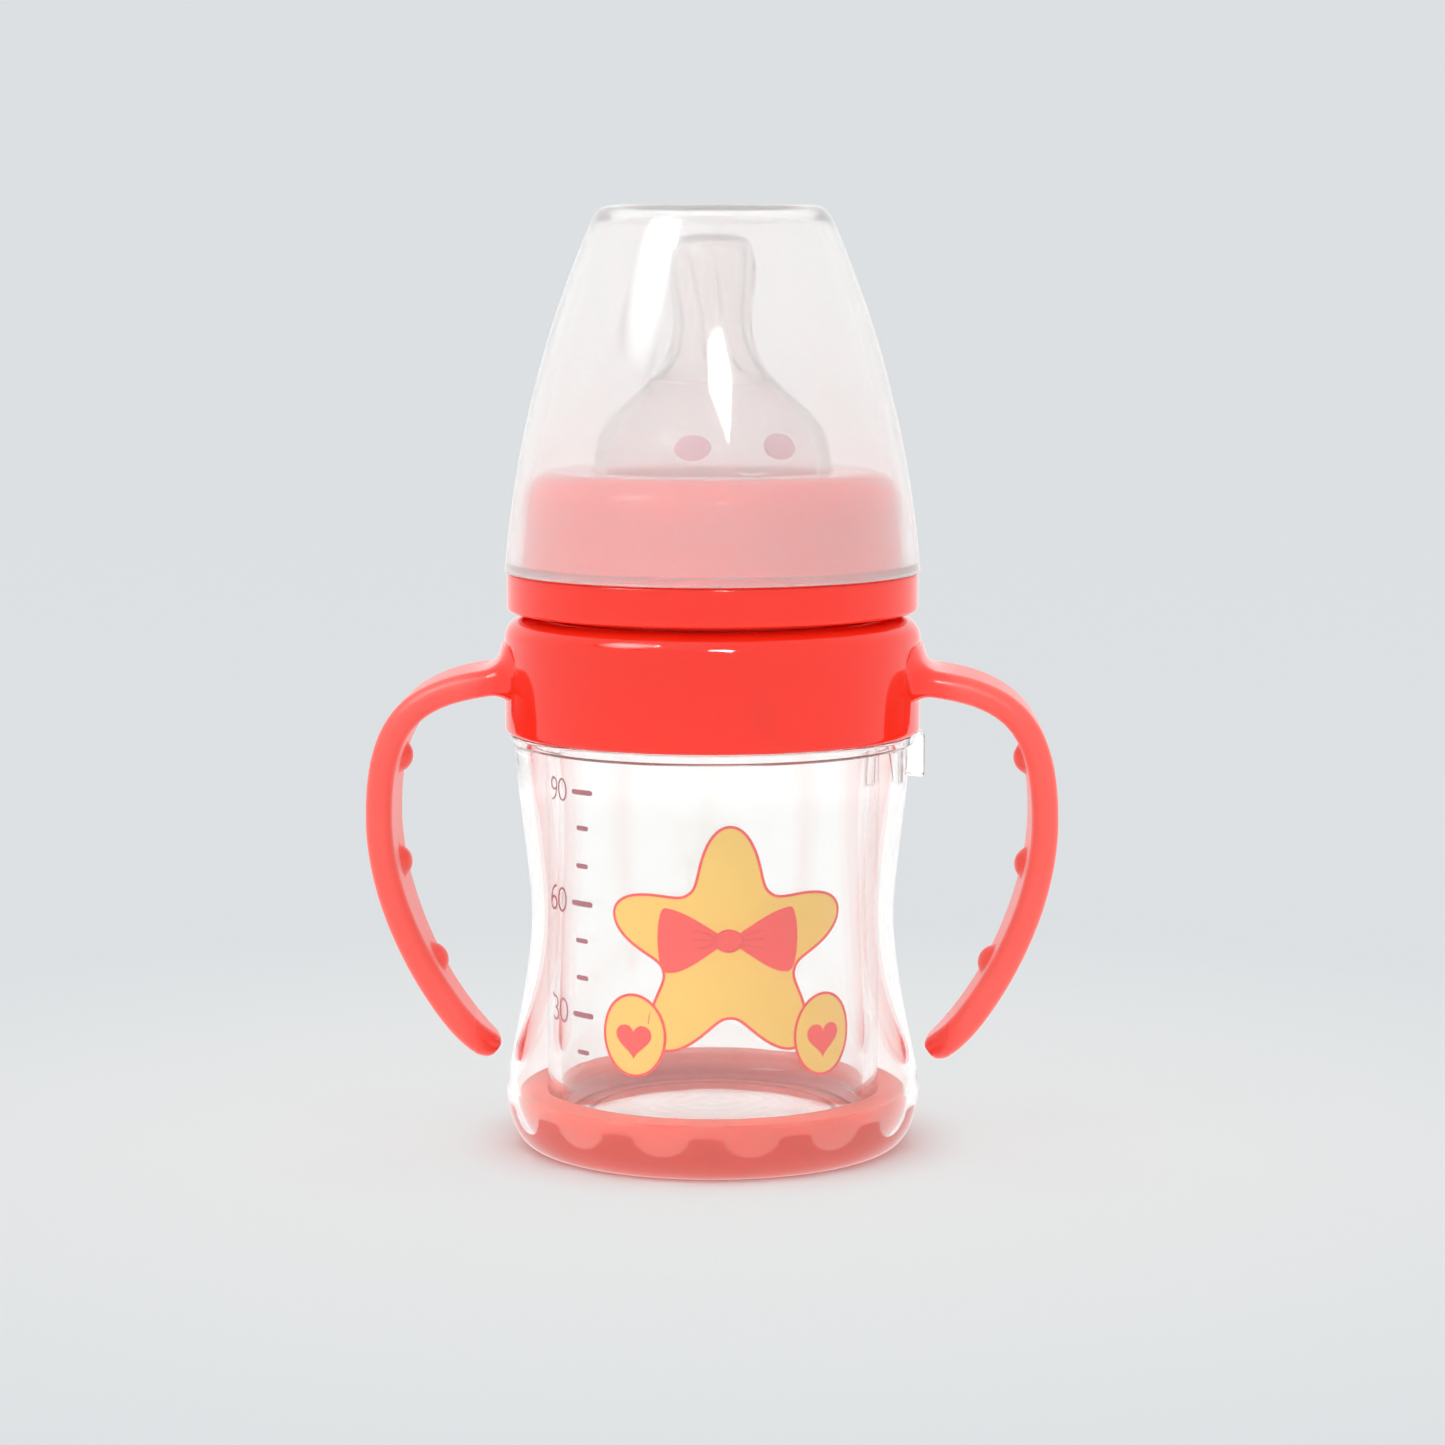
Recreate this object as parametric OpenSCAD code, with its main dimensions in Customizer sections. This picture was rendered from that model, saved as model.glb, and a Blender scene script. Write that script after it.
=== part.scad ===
// Feeding bottle with twin handles: a glass bottle inside a clear outer shell, standing in a
// soft base ring, closed by a handle collar, a screw ring with its teat, and a dust cap.
// +Z is up, the handles lie along X, and the origin is on the axis at the resting face.

/* [Dust cap] */
// Height of the whole bottle with the cap on
total_height = 144.7; // [143.8:0.1:147]
// Outer radius of the cap at its rim
cap_rim_r = 31.9; // [31.6:0.05:32.2]
// Outer radius of the cap where its flat top begins to round
cap_top_r = 18.7; // [18:0.1:19.4]
// Wall of the cap
cap_wall = 1.25; // [1:0.05:1.4]

/* [Teat] */
// Height of the teat's tip
teat_top = 140.3; // [139:0.1:141.5]
// Outer radius of the teat's dome at the ring
teat_dome_r = 18.15; // [17.6:0.05:18.2]
// Wall of the teat's dome
teat_wall = 1.8; // [1.4:0.1:2]

/* [Screw ring] */
// Top of the screw ring
ring_top = 104.4; // [104:0.1:104.8]
// Radius of the opening that the teat stands in
ring_opening_r = 18.4; // [18.3:0.05:18.6]
// Radius of the flange that the cap rests on
flange_r = 31.6; // [31.2:0.1:32]
// Height of the flange
flange_h = 6; // [5:0.1:6.5]

/* [Thread] */
// Rise of the thread in one turn
thread_pitch = 4.5; // [4.3:0.1:5]
// Turns of thread on the neck and in the ring
thread_turns = 1.25; // [1:0.05:1.4]
// Height of a thread ridge above its wall
thread_height = 1.4; // [1.2:0.05:1.45]

/* [Handle collar] */
// Radius of the collar
collar_r = 32; // [31.8:0.05:32.2]
// Top of the collar
collar_top = 82.2; // [82:0.05:82.4]
// Bottom of the collar
collar_bottom = 64.4; // [64.3:0.05:64.6]

/* [Handles] */
// Thickness of a handle's strap
strap_thick = 4.1; // [4:0.1:4.4]
// Width of the strap where it leaves the collar
strap_root_w = 19.6; // [18:0.2:20]
// Width of the strap's rounded tip
strap_tip_w = 10.4; // [9.6:0.2:12]
// Radius of the three finger nubs on each strap
nub_r = 2.75; // [2.6:0.05:2.8]

/* [Glass bottle] */
// Outer radius of the glass body
glass_r = 25.6; // [25.4:0.05:25.7]
// Wall of the glass
glass_wall = 2.1; // [1.8:0.1:2.4]
// Outer radius of the plain neck
neck_r = 23; // [22.9:0.05:23.1]
// Height of the lip
lip_z = 101; // [100.9:0.05:101.05]

/* [Outer shell] */
// Largest outer radius, near the base
shell_base_r = 32.1; // [31.8:0.1:32.4]
// Outer radius at the waist
shell_waist_r = 28; // [27.8:0.1:28.6]
// Wall of the shell
shell_wall = 1.6; // [1.4:0.1:1.7]
// Floor of the shell, under the base ring
shell_floor = 1; // [0.9:0.05:1.3]

/* [Base ring] */
// Top of the soft base ring
cushion_top = 8.8; // [8:0.1:10]
// Number of scoops around the base ring
scoop_count = 14; // [10:1:16]

/* [Hidden] */
$fn = 96;
STEPS = 12;            // straight pieces in one curve of a profile
SLACK = 0.05;          // gap between still parts that touch in use

// Shell: a waisted cup with a rim for the collar
shell_foot_r = 27.5;   // radius of the ring that it stands on
shell_recess_r = 21.5; // radius of the hollow under the floor
shell_recess_h = 0.3;
shell_belly_z = 10;    // height of the largest radius
shell_waist_z = 36;
shell_shoulder_r = 30.45;
shell_shoulder_z = 62.6;
bead_r = 31.2;         // small bead that the collar stands over
bead_top = collar_bottom - 0.2;
rim_r = 28.9;          // the rim inside the collar
rim_top = 77.6;
rim_inner_r = 27.3;
step_low = 57.5;       // between these heights the inner face slopes in to the rim
step_top = 67;

// Twist lock between the shell's lugs and the collar's hooks
lug_count = 3;
lug_first = 90;        // angle of the first lug
lug_width = 24;        // angle that a lug covers
lug_bottom = 68.9;
lug_top = 71.1;
lug_reach = 1.0;
unlock_turn = 28;      // how far the collar turns to free its hooks
hook_gap = 0.35;       // gap between the rim and a hook
lock_gap = 2;          // angle between a lug and what stops or passes it

// Guide tab on the shell, below the collar
tab_angle = 3;
tab_w = 7;
tab_bottom = 57.3;
tab_reach_r = 32.4;
tab_edge = 0.4;        // chamfer of the tab's corners

// Glass
glass_base = 2.5;
glass_corner_r = 3;
glass_floor_z = 5.4;
shoulder_z = 75;       // the shoulder arc starts here
shoulder_arc_r = glass_r - neck_r;

// Thread
thread_z = 88.2;       // where the neck's ridge starts
ridge_root = 1.0;      // half height of a ridge at its foot
ridge_crest = 0.5;     // half height of a ridge at its crest
ridge_step = 12;       // degrees between two sections of a ridge
ridge_taper = 30;      // degrees over which a ridge fades in and out
ridge_sink = 0.4;      // how deep a ridge's foot lies in its wall
ring_bore_r = neck_r + thread_height + 0.4;

// Screw ring
ring_bottom = 83;
ring_side_r = 29.4;
ring_side_top_r = 28.8;
ring_corner_r = 4.5;
ring_roof = 1.6;
core_inner_r = 26.5;   // hollow between the ring's inner and outer skirt
core_outer_r = 27.7;
core_top = 99;
flange_core_r = 30;
flange_core_top = 87.2;

// Collar
collar_corner_r = 4;
collar_roof = 2.2;
collar_hole_r = neck_r + thread_height + 0.4;
collar_cavity_r = rim_r + lug_reach + 0.3;

// Teat
teat_flange_r = 22.8;
teat_flange_z = lip_z + 0.1;
teat_flange_top = ring_top - ring_roof - 0.1;
nipple_r = 6.45;
neck_low_r = 5.65;     // the narrowest place of the nipple
neck_low_z = 127.6;
nipple_foot_r = 9.3;
nipple_foot_z = 118.4;
nipple_wall = 1.3;
feed_hole_r = 0.5;

// Handles: the strap's centre line, from the collar round to the tip
strap_root = [30.4, 73.1];
strap_bow = [51, 51];
strap_tip = [35.3, 15.3];
strap_bow_w = 17.6;
strap_bow_z = 48;
strap_tip_swell = 1.07;    // the strap thickens by this much towards its tip
root_fillet_r = 4;
nub_sink = 1.15;       // how far below the strap's inner face a nub's centre lies

// A point on the cubic curve from a to d, steered by b and c, at t from 0 to 1
function curve_point(a, b, c, d, t) =
    let (s = 1 - t) s * s * s * a + 3 * s * s * t * b + 3 * s * t * t * c + t * t * t * d;
function curve(a, b, c, d, n = STEPS) = [for (i = [0:n]) curve_point(a, b, c, d, i / n)];
function arc(centre, r, from, to, n = STEPS) =
    [for (i = [0:n]) let (a = from + (to - from) * i / n) centre + r * [cos(a), sin(a)]];
function backwards(points) = [for (i = [len(points) - 1:-1:0]) points[i]];
function without_first(points) = [for (i = [1:len(points) - 1]) points[i]];

// Outline of the shell from its foot to its shoulder, drawn in by inset and raised by floor_z
function shell_outline(inset, floor_z) = concat(
    curve([shell_foot_r - inset, floor_z], [shell_foot_r + 2.8 - inset, floor_z],
          [shell_base_r - inset, 4.5], [shell_base_r - inset, shell_belly_z], 8),
    without_first(curve([shell_base_r - inset, shell_belly_z],
          [shell_base_r - 1.3 - inset, shell_belly_z + 6],
          [shell_waist_r - inset, shell_waist_z - 8.1], [shell_waist_r - inset, shell_waist_z])),
    without_first(curve([shell_waist_r - inset, shell_waist_z],
          [shell_waist_r - inset, shell_waist_z + 6.1],
          [shell_shoulder_r - inset, shell_shoulder_z - 6.1],
          [shell_shoulder_r - inset, shell_shoulder_z])));

// Outer outline of the glass from its base to its neck, grown by gap
function glass_outline(gap) = concat(
    arc([glass_r - glass_corner_r, glass_base + glass_corner_r], glass_corner_r + gap, -90, 0, 6),
    arc([neck_r, shoulder_z], shoulder_arc_r + gap, 0, 90, 8));

// Section of the cap at a wall inset: one long arc from the rim to the rounded top edge
cap_rim_z = ring_bottom + flange_h + SLACK;
cap_bow_r = 163.6;     // radius of the long arc
cap_bow_z = 76.2;      // height of the long arc's centre
cap_bow_x = cap_rim_r - sqrt(pow(cap_bow_r, 2) - pow(cap_rim_z - cap_bow_z, 2));
function cap_side_r(z) = cap_bow_x + sqrt(pow(cap_bow_r, 2) - pow(z - cap_bow_z, 2));
function cap_outline(inset) = concat(
    [for (i = [0:STEPS]) let (z = cap_rim_z + (total_height - 3 - cap_rim_z) * i / STEPS)
        [cap_side_r(z) - inset, z]],
    curve([cap_top_r - 0.1 - inset, total_height - 2.4], [cap_top_r - 0.7 - inset, total_height - 0.8],
          [cap_top_r - 1 - inset, total_height - inset],
          [cap_top_r - 3 - inset, total_height - inset], 5));

// One ridge of thread: side is 1 on the outside of a wall, -1 on the inside
module thread_ridge(wall_r, start_z, side) {
    last = ceil(thread_turns * 360 / ridge_step);
    points = [for (i = [0:last]) let (
        a = i * ridge_step,
        z = start_z + thread_pitch * a / 360,
        fade = max(0.1, min(1, a / ridge_taper, (last * ridge_step - a) / ridge_taper)),
        foot = wall_r - side * ridge_sink,
        crest = wall_r + side * thread_height * fade)
        each [for (p = [[foot, z - ridge_root], [crest, z - ridge_crest],
                        [crest, z + ridge_crest], [foot, z + ridge_root]])
              [p[0] * cos(a), p[0] * sin(a), p[1]]]];
    sides = [for (i = [0:last - 1], k = [0:3]) let (n = (k + 1) % 4)
        each [[4 * i + k, 4 * i + 4 + k, 4 * i + 4 + n], [4 * i + k, 4 * i + 4 + n, 4 * i + n]]];
    ends = [[0, 1, 2], [0, 2, 3],
            [4 * last + 2, 4 * last + 1, 4 * last], [4 * last + 3, 4 * last + 2, 4 * last]];
    faces = concat(sides, ends);
    polyhedron(points, side < 0 ? faces : [for (f = faces) backwards(f)]);
}

// A piece of a ring, from one angle to another
module ring_sector(inner_r, outer_r, bottom, top, from, to) {
    rotate([0, 0, from])
        rotate_extrude(angle = to - from)
            translate([inner_r, bottom])
                square([outer_r - inner_r, top - bottom]);
}

module at_lugs() {
    for (i = [0:lug_count - 1])
        rotate([0, 0, lug_first + i * 360 / lug_count])
            children();
}

module dust_cap() {
    rib_r = ring_side_r + SLACK;
    rib_h = 2;
    color([0.93, 0.93, 0.94, 0.5]) {
        rotate_extrude()
            polygon(concat(cap_outline(0), [[0, total_height], [0, total_height - cap_wall]],
                           backwards(cap_outline(cap_wall))));
        rotate_extrude()
            translate([rib_r, cap_rim_z])
                square([cap_rim_r - cap_wall + 0.2 - rib_r, rib_h]);
    }
}

// Half section of the teat's outer face from the tip down to the ring, drawn in by inset
function teat_outline(inset, tip_inset) = concat(
    curve([0, teat_top - tip_inset], [4.6, teat_top - tip_inset],
          [nipple_r - inset, teat_top - 1 - tip_inset], [nipple_r - inset, 135.8 - tip_inset / 2], 10),
    without_first(curve([nipple_r - inset, 135.8 - tip_inset / 2], [nipple_r - inset, 132.8],
          [neck_low_r - inset, neck_low_z + 2], [neck_low_r - inset, neck_low_z], 8)),
    without_first(curve([neck_low_r - inset, neck_low_z], [neck_low_r - inset, neck_low_z - 4.7],
          [nipple_foot_r - 2.2 - inset, nipple_foot_z + 1.9],
          [nipple_foot_r - inset, nipple_foot_z], 8)));
function dome_outline(top_inset, inset) = curve(
    [nipple_foot_r - top_inset, nipple_foot_z],
    [nipple_foot_r + 5.2 - inset, nipple_foot_z - 5.6 - inset / 2],
    [teat_dome_r - inset, ring_top + 8.2 - inset], [teat_dome_r - inset, ring_top]);

module teat() {
    color([0.95, 0.93, 0.91, 0.6])
        difference() {
            rotate_extrude()
                polygon(concat(
                    teat_outline(0, 0), without_first(dome_outline(0, 0)),
                    [[teat_dome_r, teat_flange_top], [teat_flange_r, teat_flange_top],
                     [teat_flange_r, teat_flange_z], [teat_dome_r - teat_wall, teat_flange_z]],
                    backwards(without_first(dome_outline(nipple_wall, teat_wall))),
                    backwards(teat_outline(nipple_wall, nipple_wall))));
            translate([0, 0, teat_top - 4])
                cylinder(r = feed_hole_r, h = 6);
        }
}

module screw_ring() {
    side_top = ring_top - ring_corner_r;
    flange_top = ring_bottom + flange_h;
    color([0.98, 0.30, 0.26]) {
        difference() {
            rotate_extrude()
                polygon(concat(
                    [[ring_bore_r, ring_bottom]],
                    arc([flange_r - 1.6, ring_bottom + 1.6], 1.6, -90, 0, 5),
                    arc([flange_r - 0.5, flange_top - 0.5], 0.5, 0, 90, 3),
                    [[ring_side_r, flange_top]],
                    arc([ring_side_top_r - ring_corner_r, side_top], ring_corner_r, 0, 90, 9),
                    [[ring_opening_r, ring_top], [ring_opening_r, ring_top - ring_roof],
                     [ring_bore_r, ring_top - ring_roof]]));
            rotate_extrude()
                translate([core_inner_r, ring_bottom - 1])
                    square([core_outer_r - core_inner_r, core_top - ring_bottom + 1]);
            rotate_extrude()
                translate([core_inner_r, ring_bottom - 1])
                    square([flange_core_r - core_inner_r, flange_core_top - ring_bottom + 1]);
        }
        thread_ridge(ring_bore_r, thread_z - thread_pitch / 2, -1);
    }
}

// A point beside the centre line k, at t along it and offset to its outer side
function strap_point(k, offset, t) = let (
    here = curve_point(k[0], k[1], k[2], k[3], t),
    before = curve_point(k[0], k[1], k[2], k[3], max(0, t - 0.01)),
    after = curve_point(k[0], k[1], k[2], k[3], min(1, t + 0.01)),
    along = (after - before) / norm(after - before))
    here + offset * [-along[1], along[0]];
function strap_side(k, offset, swell = 1) =
    [for (i = [0:STEPS]) strap_point(k, offset * (1 + (swell - 1) * i / STEPS), i / STEPS)];
strap_upper = [strap_root, strap_root + [13.1, -2], strap_bow + [0, 18], strap_bow];
strap_lower = [strap_bow, strap_bow - [0, 14.9], strap_tip + [6.1, 4.6], strap_tip];
function strap_edge(offset) = concat(strap_side(strap_upper, offset),
    without_first(strap_side(strap_lower, offset, strap_tip_swell)));

// The strap from the side, in the X-Z plane
module strap_profile() {
    polygon(concat(strap_edge(strap_thick / 2), backwards(strap_edge(-strap_thick / 2))));
    translate(strap_tip)
        circle(r = strap_thick / 2 * strap_tip_swell);
}

// Rounded inner corners where the strap leaves the collar
module root_fillets() {
    sunk = collar_r - 0.4 - strap_root[0];     // how deep a fillet starts inside the collar's wall
    reach = root_fillet_r + 0.4;
    for (side = [1, -1])
        translate([strap_root[0], strap_root[1] - 0.3 + side * (strap_thick / 2 - 0.6)])
            difference() {
                translate([0, side > 0 ? 0 : -reach])
                    square([sunk + reach, reach]);
                translate([sunk + reach, side * reach])
                    circle(r = root_fillet_r);
            }
}

// The strap from the front of its tongue, in the Y-Z plane: wide root, narrow round tip
module strap_width() {
    tip_r = strap_tip_w / 2;
    low = strap_tip[1] - 1.9;
    tip_flat = 5;          // height of the tip's rounding
    half = concat(
        [[strap_root_w / 2, collar_top], [strap_root_w / 2, strap_root[1] - 6]],
        curve([strap_root_w / 2, strap_root[1] - 6], [strap_root_w / 2 - 0.9, strap_bow_z + 12],
              [strap_bow_w / 2 + 0.3, strap_bow_z + 5], [strap_bow_w / 2, strap_bow_z], 6),
        curve([strap_bow_w / 2, strap_bow_z], [strap_bow_w / 2 - 0.5, strap_bow_z - 12],
              [tip_r + 1.2, low + tip_flat + 6], [tip_r, low + tip_flat], 6),
        curve([tip_r, low + tip_flat], [tip_r - 0.5, low + 1.5], [2.4, low], [0, low], 6));
    polygon(concat(half, [for (p = backwards(half)) [-p[0], p[1]]]));
}

module handle() {
    intersection() {
        rotate([90, 0, 0])
            translate([0, 0, -strap_root_w])
                linear_extrude(2 * strap_root_w) {
                    strap_profile();
                    root_fillets();
                }
        rotate([90, 0, 90])
            linear_extrude(60)
                strap_width();
    }
    nub_offset = nub_sink - strap_thick / 2;
    for (nub = [strap_point(strap_upper, nub_offset, 0.785), strap_point(strap_lower, nub_offset, 0.167),
                strap_point(strap_lower, nub_offset, 0.54)])
        translate([nub[0], 0, nub[1]])
            sphere(r = nub_r);
}

module collar_body() {
    rotate_extrude()
        polygon(concat(
            [[collar_cavity_r, collar_bottom]],
            arc([collar_r - 1.2, collar_bottom + 1.2], 1.2, -90, 0, 4),
            arc([collar_r - collar_corner_r, collar_top - collar_corner_r], collar_corner_r, 0, 90, 8),
            [[collar_hole_r, collar_top], [collar_hole_r, collar_top - collar_roof],
             [collar_cavity_r, collar_top - collar_roof]]));
}

module handle_collar() {
    half_lug = lug_width / 2;
    slot_from = -unlock_turn - half_lug - lock_gap;
    slot_to = -unlock_turn + half_lug + lock_gap;
    hook_r = rim_r + hook_gap;
    hook_top = lug_bottom - 0.3;
    stop_w = 3;
    stop_from = hook_top - 1;
    stop_to = lug_top + 0.8;
    color([0.98, 0.30, 0.26]) {
        collar_body();
        handle();
        rotate([0, 0, 180])
            handle();
        at_lugs() {
            ring_sector(hook_r, collar_cavity_r + 0.2, collar_bottom, hook_top,
                        slot_to, slot_from + 360 / lug_count);
            ring_sector(hook_r, collar_cavity_r + 0.3, stop_from, stop_to,
                        half_lug + lock_gap, half_lug + lock_gap + stop_w);
            ring_sector(hook_r, collar_cavity_r + 0.3, stop_from, stop_to,
                        slot_from - 1 - stop_w, slot_from - 1);
        }
    }
}

module shoulder_gasket() {
    top = collar_top - collar_roof - 0.3;
    color([0.95, 0.94, 0.92])
        rotate_extrude()
            difference() {
                union() {
                    translate([neck_r + 0.15, rim_top + SLACK])
                        square([rim_r - 0.2 - neck_r - 0.15, top - rim_top - SLACK]);
                    translate([neck_r + 0.15, shoulder_z])
                        square([rim_inner_r - 0.2 - neck_r - 0.15, rim_top - shoulder_z + 0.1]);
                }
                translate([neck_r, shoulder_z - 0.01])
                    circle(r = shoulder_arc_r + SLACK);
                translate([0, shoulder_z - 2])
                    square([glass_r + SLACK, 2]);
            }
}

module glass_bottle() {
    inner_r = glass_r - glass_wall;
    mouth_r = neck_r - glass_wall - 0.1;
    color([0.86, 0.92, 0.92, 0.4]) {
        rotate_extrude()
            polygon(concat(
                [[0, glass_base]], glass_outline(0),
                arc([neck_r - 0.7, lip_z - 0.7], 0.7, 0, 90, 3),
                arc([mouth_r + 0.7, lip_z - 0.7], 0.7, 90, 180, 3),
                backwards(arc([mouth_r, shoulder_z - 1], inner_r - mouth_r, 0, 90, 8)),
                backwards(arc([inner_r - 2, glass_floor_z + 2], 2, -90, 0, 5)),
                [[0, glass_floor_z]]));
        thread_ridge(neck_r, thread_z, 1);
    }
}

module outer_shell() {
    color([0.93, 0.95, 0.95, 0.35]) {
        rotate_extrude()
            polygon(concat(
                [[0, shell_recess_h], [shell_recess_r, shell_recess_h], [shell_recess_r + 0.6, 0]],
                shell_outline(0, 0),
                [[bead_r - 0.3, shell_shoulder_z + 0.3], [bead_r, shell_shoulder_z + 0.6],
                 [bead_r, bead_top - 0.3], [bead_r - 0.3, bead_top], [rim_r, bead_top],
                 [rim_r, rim_top], [rim_inner_r, rim_top], [rim_inner_r, step_top]],
                [for (p = backwards(shell_outline(shell_wall, shell_floor))) if (p[1] < step_low) p],
                [[0, shell_floor]]));
        at_lugs()
            ring_sector(rim_r - 0.3, rim_r + lug_reach, lug_bottom, lug_top,
                        -lug_width / 2, lug_width / 2);
        rotate([0, 0, tab_angle])
            guide_tab();
    }
}

// Small rounded tab on the side of the shell
module guide_tab() {
    tab_top = bead_top - 0.1;
    inside = shell_shoulder_r - 1.2;
    intersection() {
        translate([inside, -tab_w / 2, tab_bottom])
            cube([tab_reach_r - inside, tab_w, tab_top - tab_bottom]);
        rotate([90, 0, 0])
            translate([0, 0, -tab_w])
                linear_extrude(2 * tab_w)
                    polygon([[inside, tab_bottom + 0.4], [tab_reach_r - tab_edge, tab_bottom],
                             [tab_reach_r, tab_bottom + tab_edge], [tab_reach_r, tab_top - tab_edge],
                             [tab_reach_r - tab_edge, tab_top], [inside, tab_top]]);
    }
}

module base_cushion() {
    low = shell_floor + SLACK;
    outer = shell_outline(shell_wall + SLACK, low);
    scoop_r = 5.5;
    scoop_depth = 0.7;
    seat_r = glass_r - 4;      // inner edge of the lip under the glass
    color([0.93, 0.40, 0.37])
        difference() {
            rotate_extrude()
                difference() {
                    intersection() {
                        polygon(concat([[seat_r, low]], outer, [[seat_r, shell_shoulder_z]]));
                        translate([seat_r, low])
                            square([20, cushion_top - low]);
                    }
                    polygon(concat([[0, glass_base - SLACK]], glass_outline(SLACK), [[0, rim_top]]));
                }
            for (i = [0:scoop_count - 1])
                rotate([0, 0, (i + 0.5) * 360 / scoop_count - 90])
                    translate([shell_base_r - shell_wall + scoop_r - scoop_depth - 0.6, 0, cushion_top - 2])
                        sphere(r = scoop_r);
        }
}

dust_cap();
teat();
screw_ring();
handle_collar();
shoulder_gasket();
glass_bottle();
outer_shell();
base_cushion();
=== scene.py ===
"""The looks of a feeding bottle with twin handles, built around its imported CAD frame.

Lengths are in millimetres until something is made from them, and the frame is the CAD's: +Z up, the
axis of the bottle is Z, the handles lie along X and the print faces -Y.
"""
import math

import bmesh
import bpy
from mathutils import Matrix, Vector


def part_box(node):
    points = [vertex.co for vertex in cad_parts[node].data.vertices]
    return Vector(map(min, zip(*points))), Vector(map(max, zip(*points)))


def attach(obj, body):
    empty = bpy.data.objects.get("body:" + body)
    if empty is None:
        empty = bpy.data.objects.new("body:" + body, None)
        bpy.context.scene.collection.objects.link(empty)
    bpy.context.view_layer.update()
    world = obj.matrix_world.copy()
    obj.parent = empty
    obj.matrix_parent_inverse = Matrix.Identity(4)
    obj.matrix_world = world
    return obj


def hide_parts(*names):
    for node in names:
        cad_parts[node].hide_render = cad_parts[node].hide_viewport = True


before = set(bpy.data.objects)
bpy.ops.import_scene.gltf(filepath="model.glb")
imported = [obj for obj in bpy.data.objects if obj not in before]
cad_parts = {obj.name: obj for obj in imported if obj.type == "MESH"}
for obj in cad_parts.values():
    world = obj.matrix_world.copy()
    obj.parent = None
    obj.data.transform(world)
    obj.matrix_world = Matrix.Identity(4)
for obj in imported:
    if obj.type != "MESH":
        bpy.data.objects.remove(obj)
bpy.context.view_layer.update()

MM = 0.001
TURN = 2 * math.pi
SEGMENTS = 224  # round the axis
SMOOTH_ANGLE = math.radians(38)


def node_box(node):
    """Lowest and highest corner of a CAD node, in millimetres."""
    low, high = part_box(node)
    return low / MM, high / MM


CAP_LOW, CAP_HIGH = node_box("dust_cap")
TEAT_LOW, TEAT_HIGH = node_box("teat")
RING_LOW, RING_HIGH = node_box("screw_ring")
COLLAR_HIGH = node_box("handle_collar")[1]
GASKET_LOW, GASKET_HIGH = node_box("shoulder_gasket")
GLASS_LOW, GLASS_HIGH = node_box("glass_bottle")
SHELL_HIGH = node_box("outer_shell")[1]
BASE_HIGH = node_box("base_cushion")[1]

GLASS_R = 25.6
GLASS_CORNER_R = 3.2
NECK_R = 23.0
SHOULDER_Z = 75.0
COLLAR_R = COLLAR_HIGH.y
COLLAR_BOTTOM = 64.4
RING_SIDE_R = 29.4
RING_OPENING_R = 18.4
TEAT_DOME_R = 18.15

# The shell's rim inside the collar
RIM_R = 28.9
RIM_INNER_R = 27.3
RIM_TOP = 77.6

# The twist lock: lugs on the rim pass between hooks in the collar; spans are from a lug's middle
LUG_ANGLES = (90, 210, 330)
LUG_SPAN = (-12, 12)
LUG_REACH = 1
LUG_BOTTOM, LUG_TOP = 68.9, 71.1
HOOK_GAP = 0.35  # gap between the rim and a hook
HOOK_SPAN = (-14, 78)
HOOK_TOP = 68.6
STOP_SPANS = ((14, 17), (-46, -43))
STOP_BOTTOM, STOP_TOP = 67.6, 71.9


# ---- outlines

def bezier(a, b, c, d, steps=14):
    """Points on the cubic curve from a to d, steered by b and c."""
    points = []
    for i in range(steps + 1):
        t = i / steps
        s = 1 - t
        weights = (s * s * s, 3 * s * s * t, 3 * s * t * t, t * t * t)
        points.append(tuple(sum(w * p[k] for w, p in zip(weights, (a, b, c, d))) for k in (0, 1)))
    return points


def ellipse(half_w, half_h, count=48, start=0.0, end=360.0):
    """Points on an ellipse; a whole one leaves out its last point."""
    steps = count if end - start >= 360 else count - 1
    return [(half_w * math.cos(math.radians(start + (end - start) * i / steps)),
             half_h * math.sin(math.radians(start + (end - start) * i / steps))) for i in range(count)]


def arc(centre, radius, start, end, steps=10):
    """Points on an arc between two angles in degrees."""
    return [(centre[0] + x, centre[1] + y) for x, y in ellipse(radius, radius, steps + 1, start, end)]


def rounded(corners, steps=5):
    """A closed outline in which each corner with a third number gets an arc of that radius."""
    outline = []
    for i, corner in enumerate(corners):
        here = Vector(corner[:2])
        if len(corner) < 3:
            outline.append(tuple(here))
            continue
        before = Vector(corners[i - 1][:2]) - here
        after = Vector(corners[(i + 1) % len(corners)][:2]) - here
        turn = math.pi - before.angle(after)
        reach = min(corner[2] * math.tan(turn / 2), 0.47 * before.length, 0.47 * after.length)
        start = here + before.normalized() * reach
        end = here + after.normalized() * reach
        pull = 4 / 3 * math.tan(turn / 4) / math.tan(turn / 2)
        outline += bezier(start, start.lerp(here, pull), end.lerp(here, pull), end, steps)
    return outline


def supported(outline, gap=0.3):
    """Adds points near both ends of each long straight stretch, so that smooth shading stays flat on it."""
    points = []
    for here, after in zip(outline, outline[1:] + outline[:1]):
        points.append(here)
        length = math.dist(here, after)
        if length > 4 * gap:
            for share in (gap / length, 1 - gap / length):
                points.append(tuple(h + (a - h) * share for h, a in zip(here, after)))
    return points


def smooth_max(a, b, blend):
    """The larger value, with the change from one to the other rounded over a length."""
    overlap = max(blend - abs(a - b), 0) / blend
    return max(a, b) + overlap * overlap * blend / 4


def radius_at(outline, z):
    """Radius of an outline that runs downwards, at a height."""
    for upper, lower in zip(outline, outline[1:]):
        if upper[1] >= z >= lower[1]:
            share = (upper[1] - z) / max(upper[1] - lower[1], 1e-9)
            return upper[0] + (lower[0] - upper[0]) * share
    return outline[-1][0]


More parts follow.
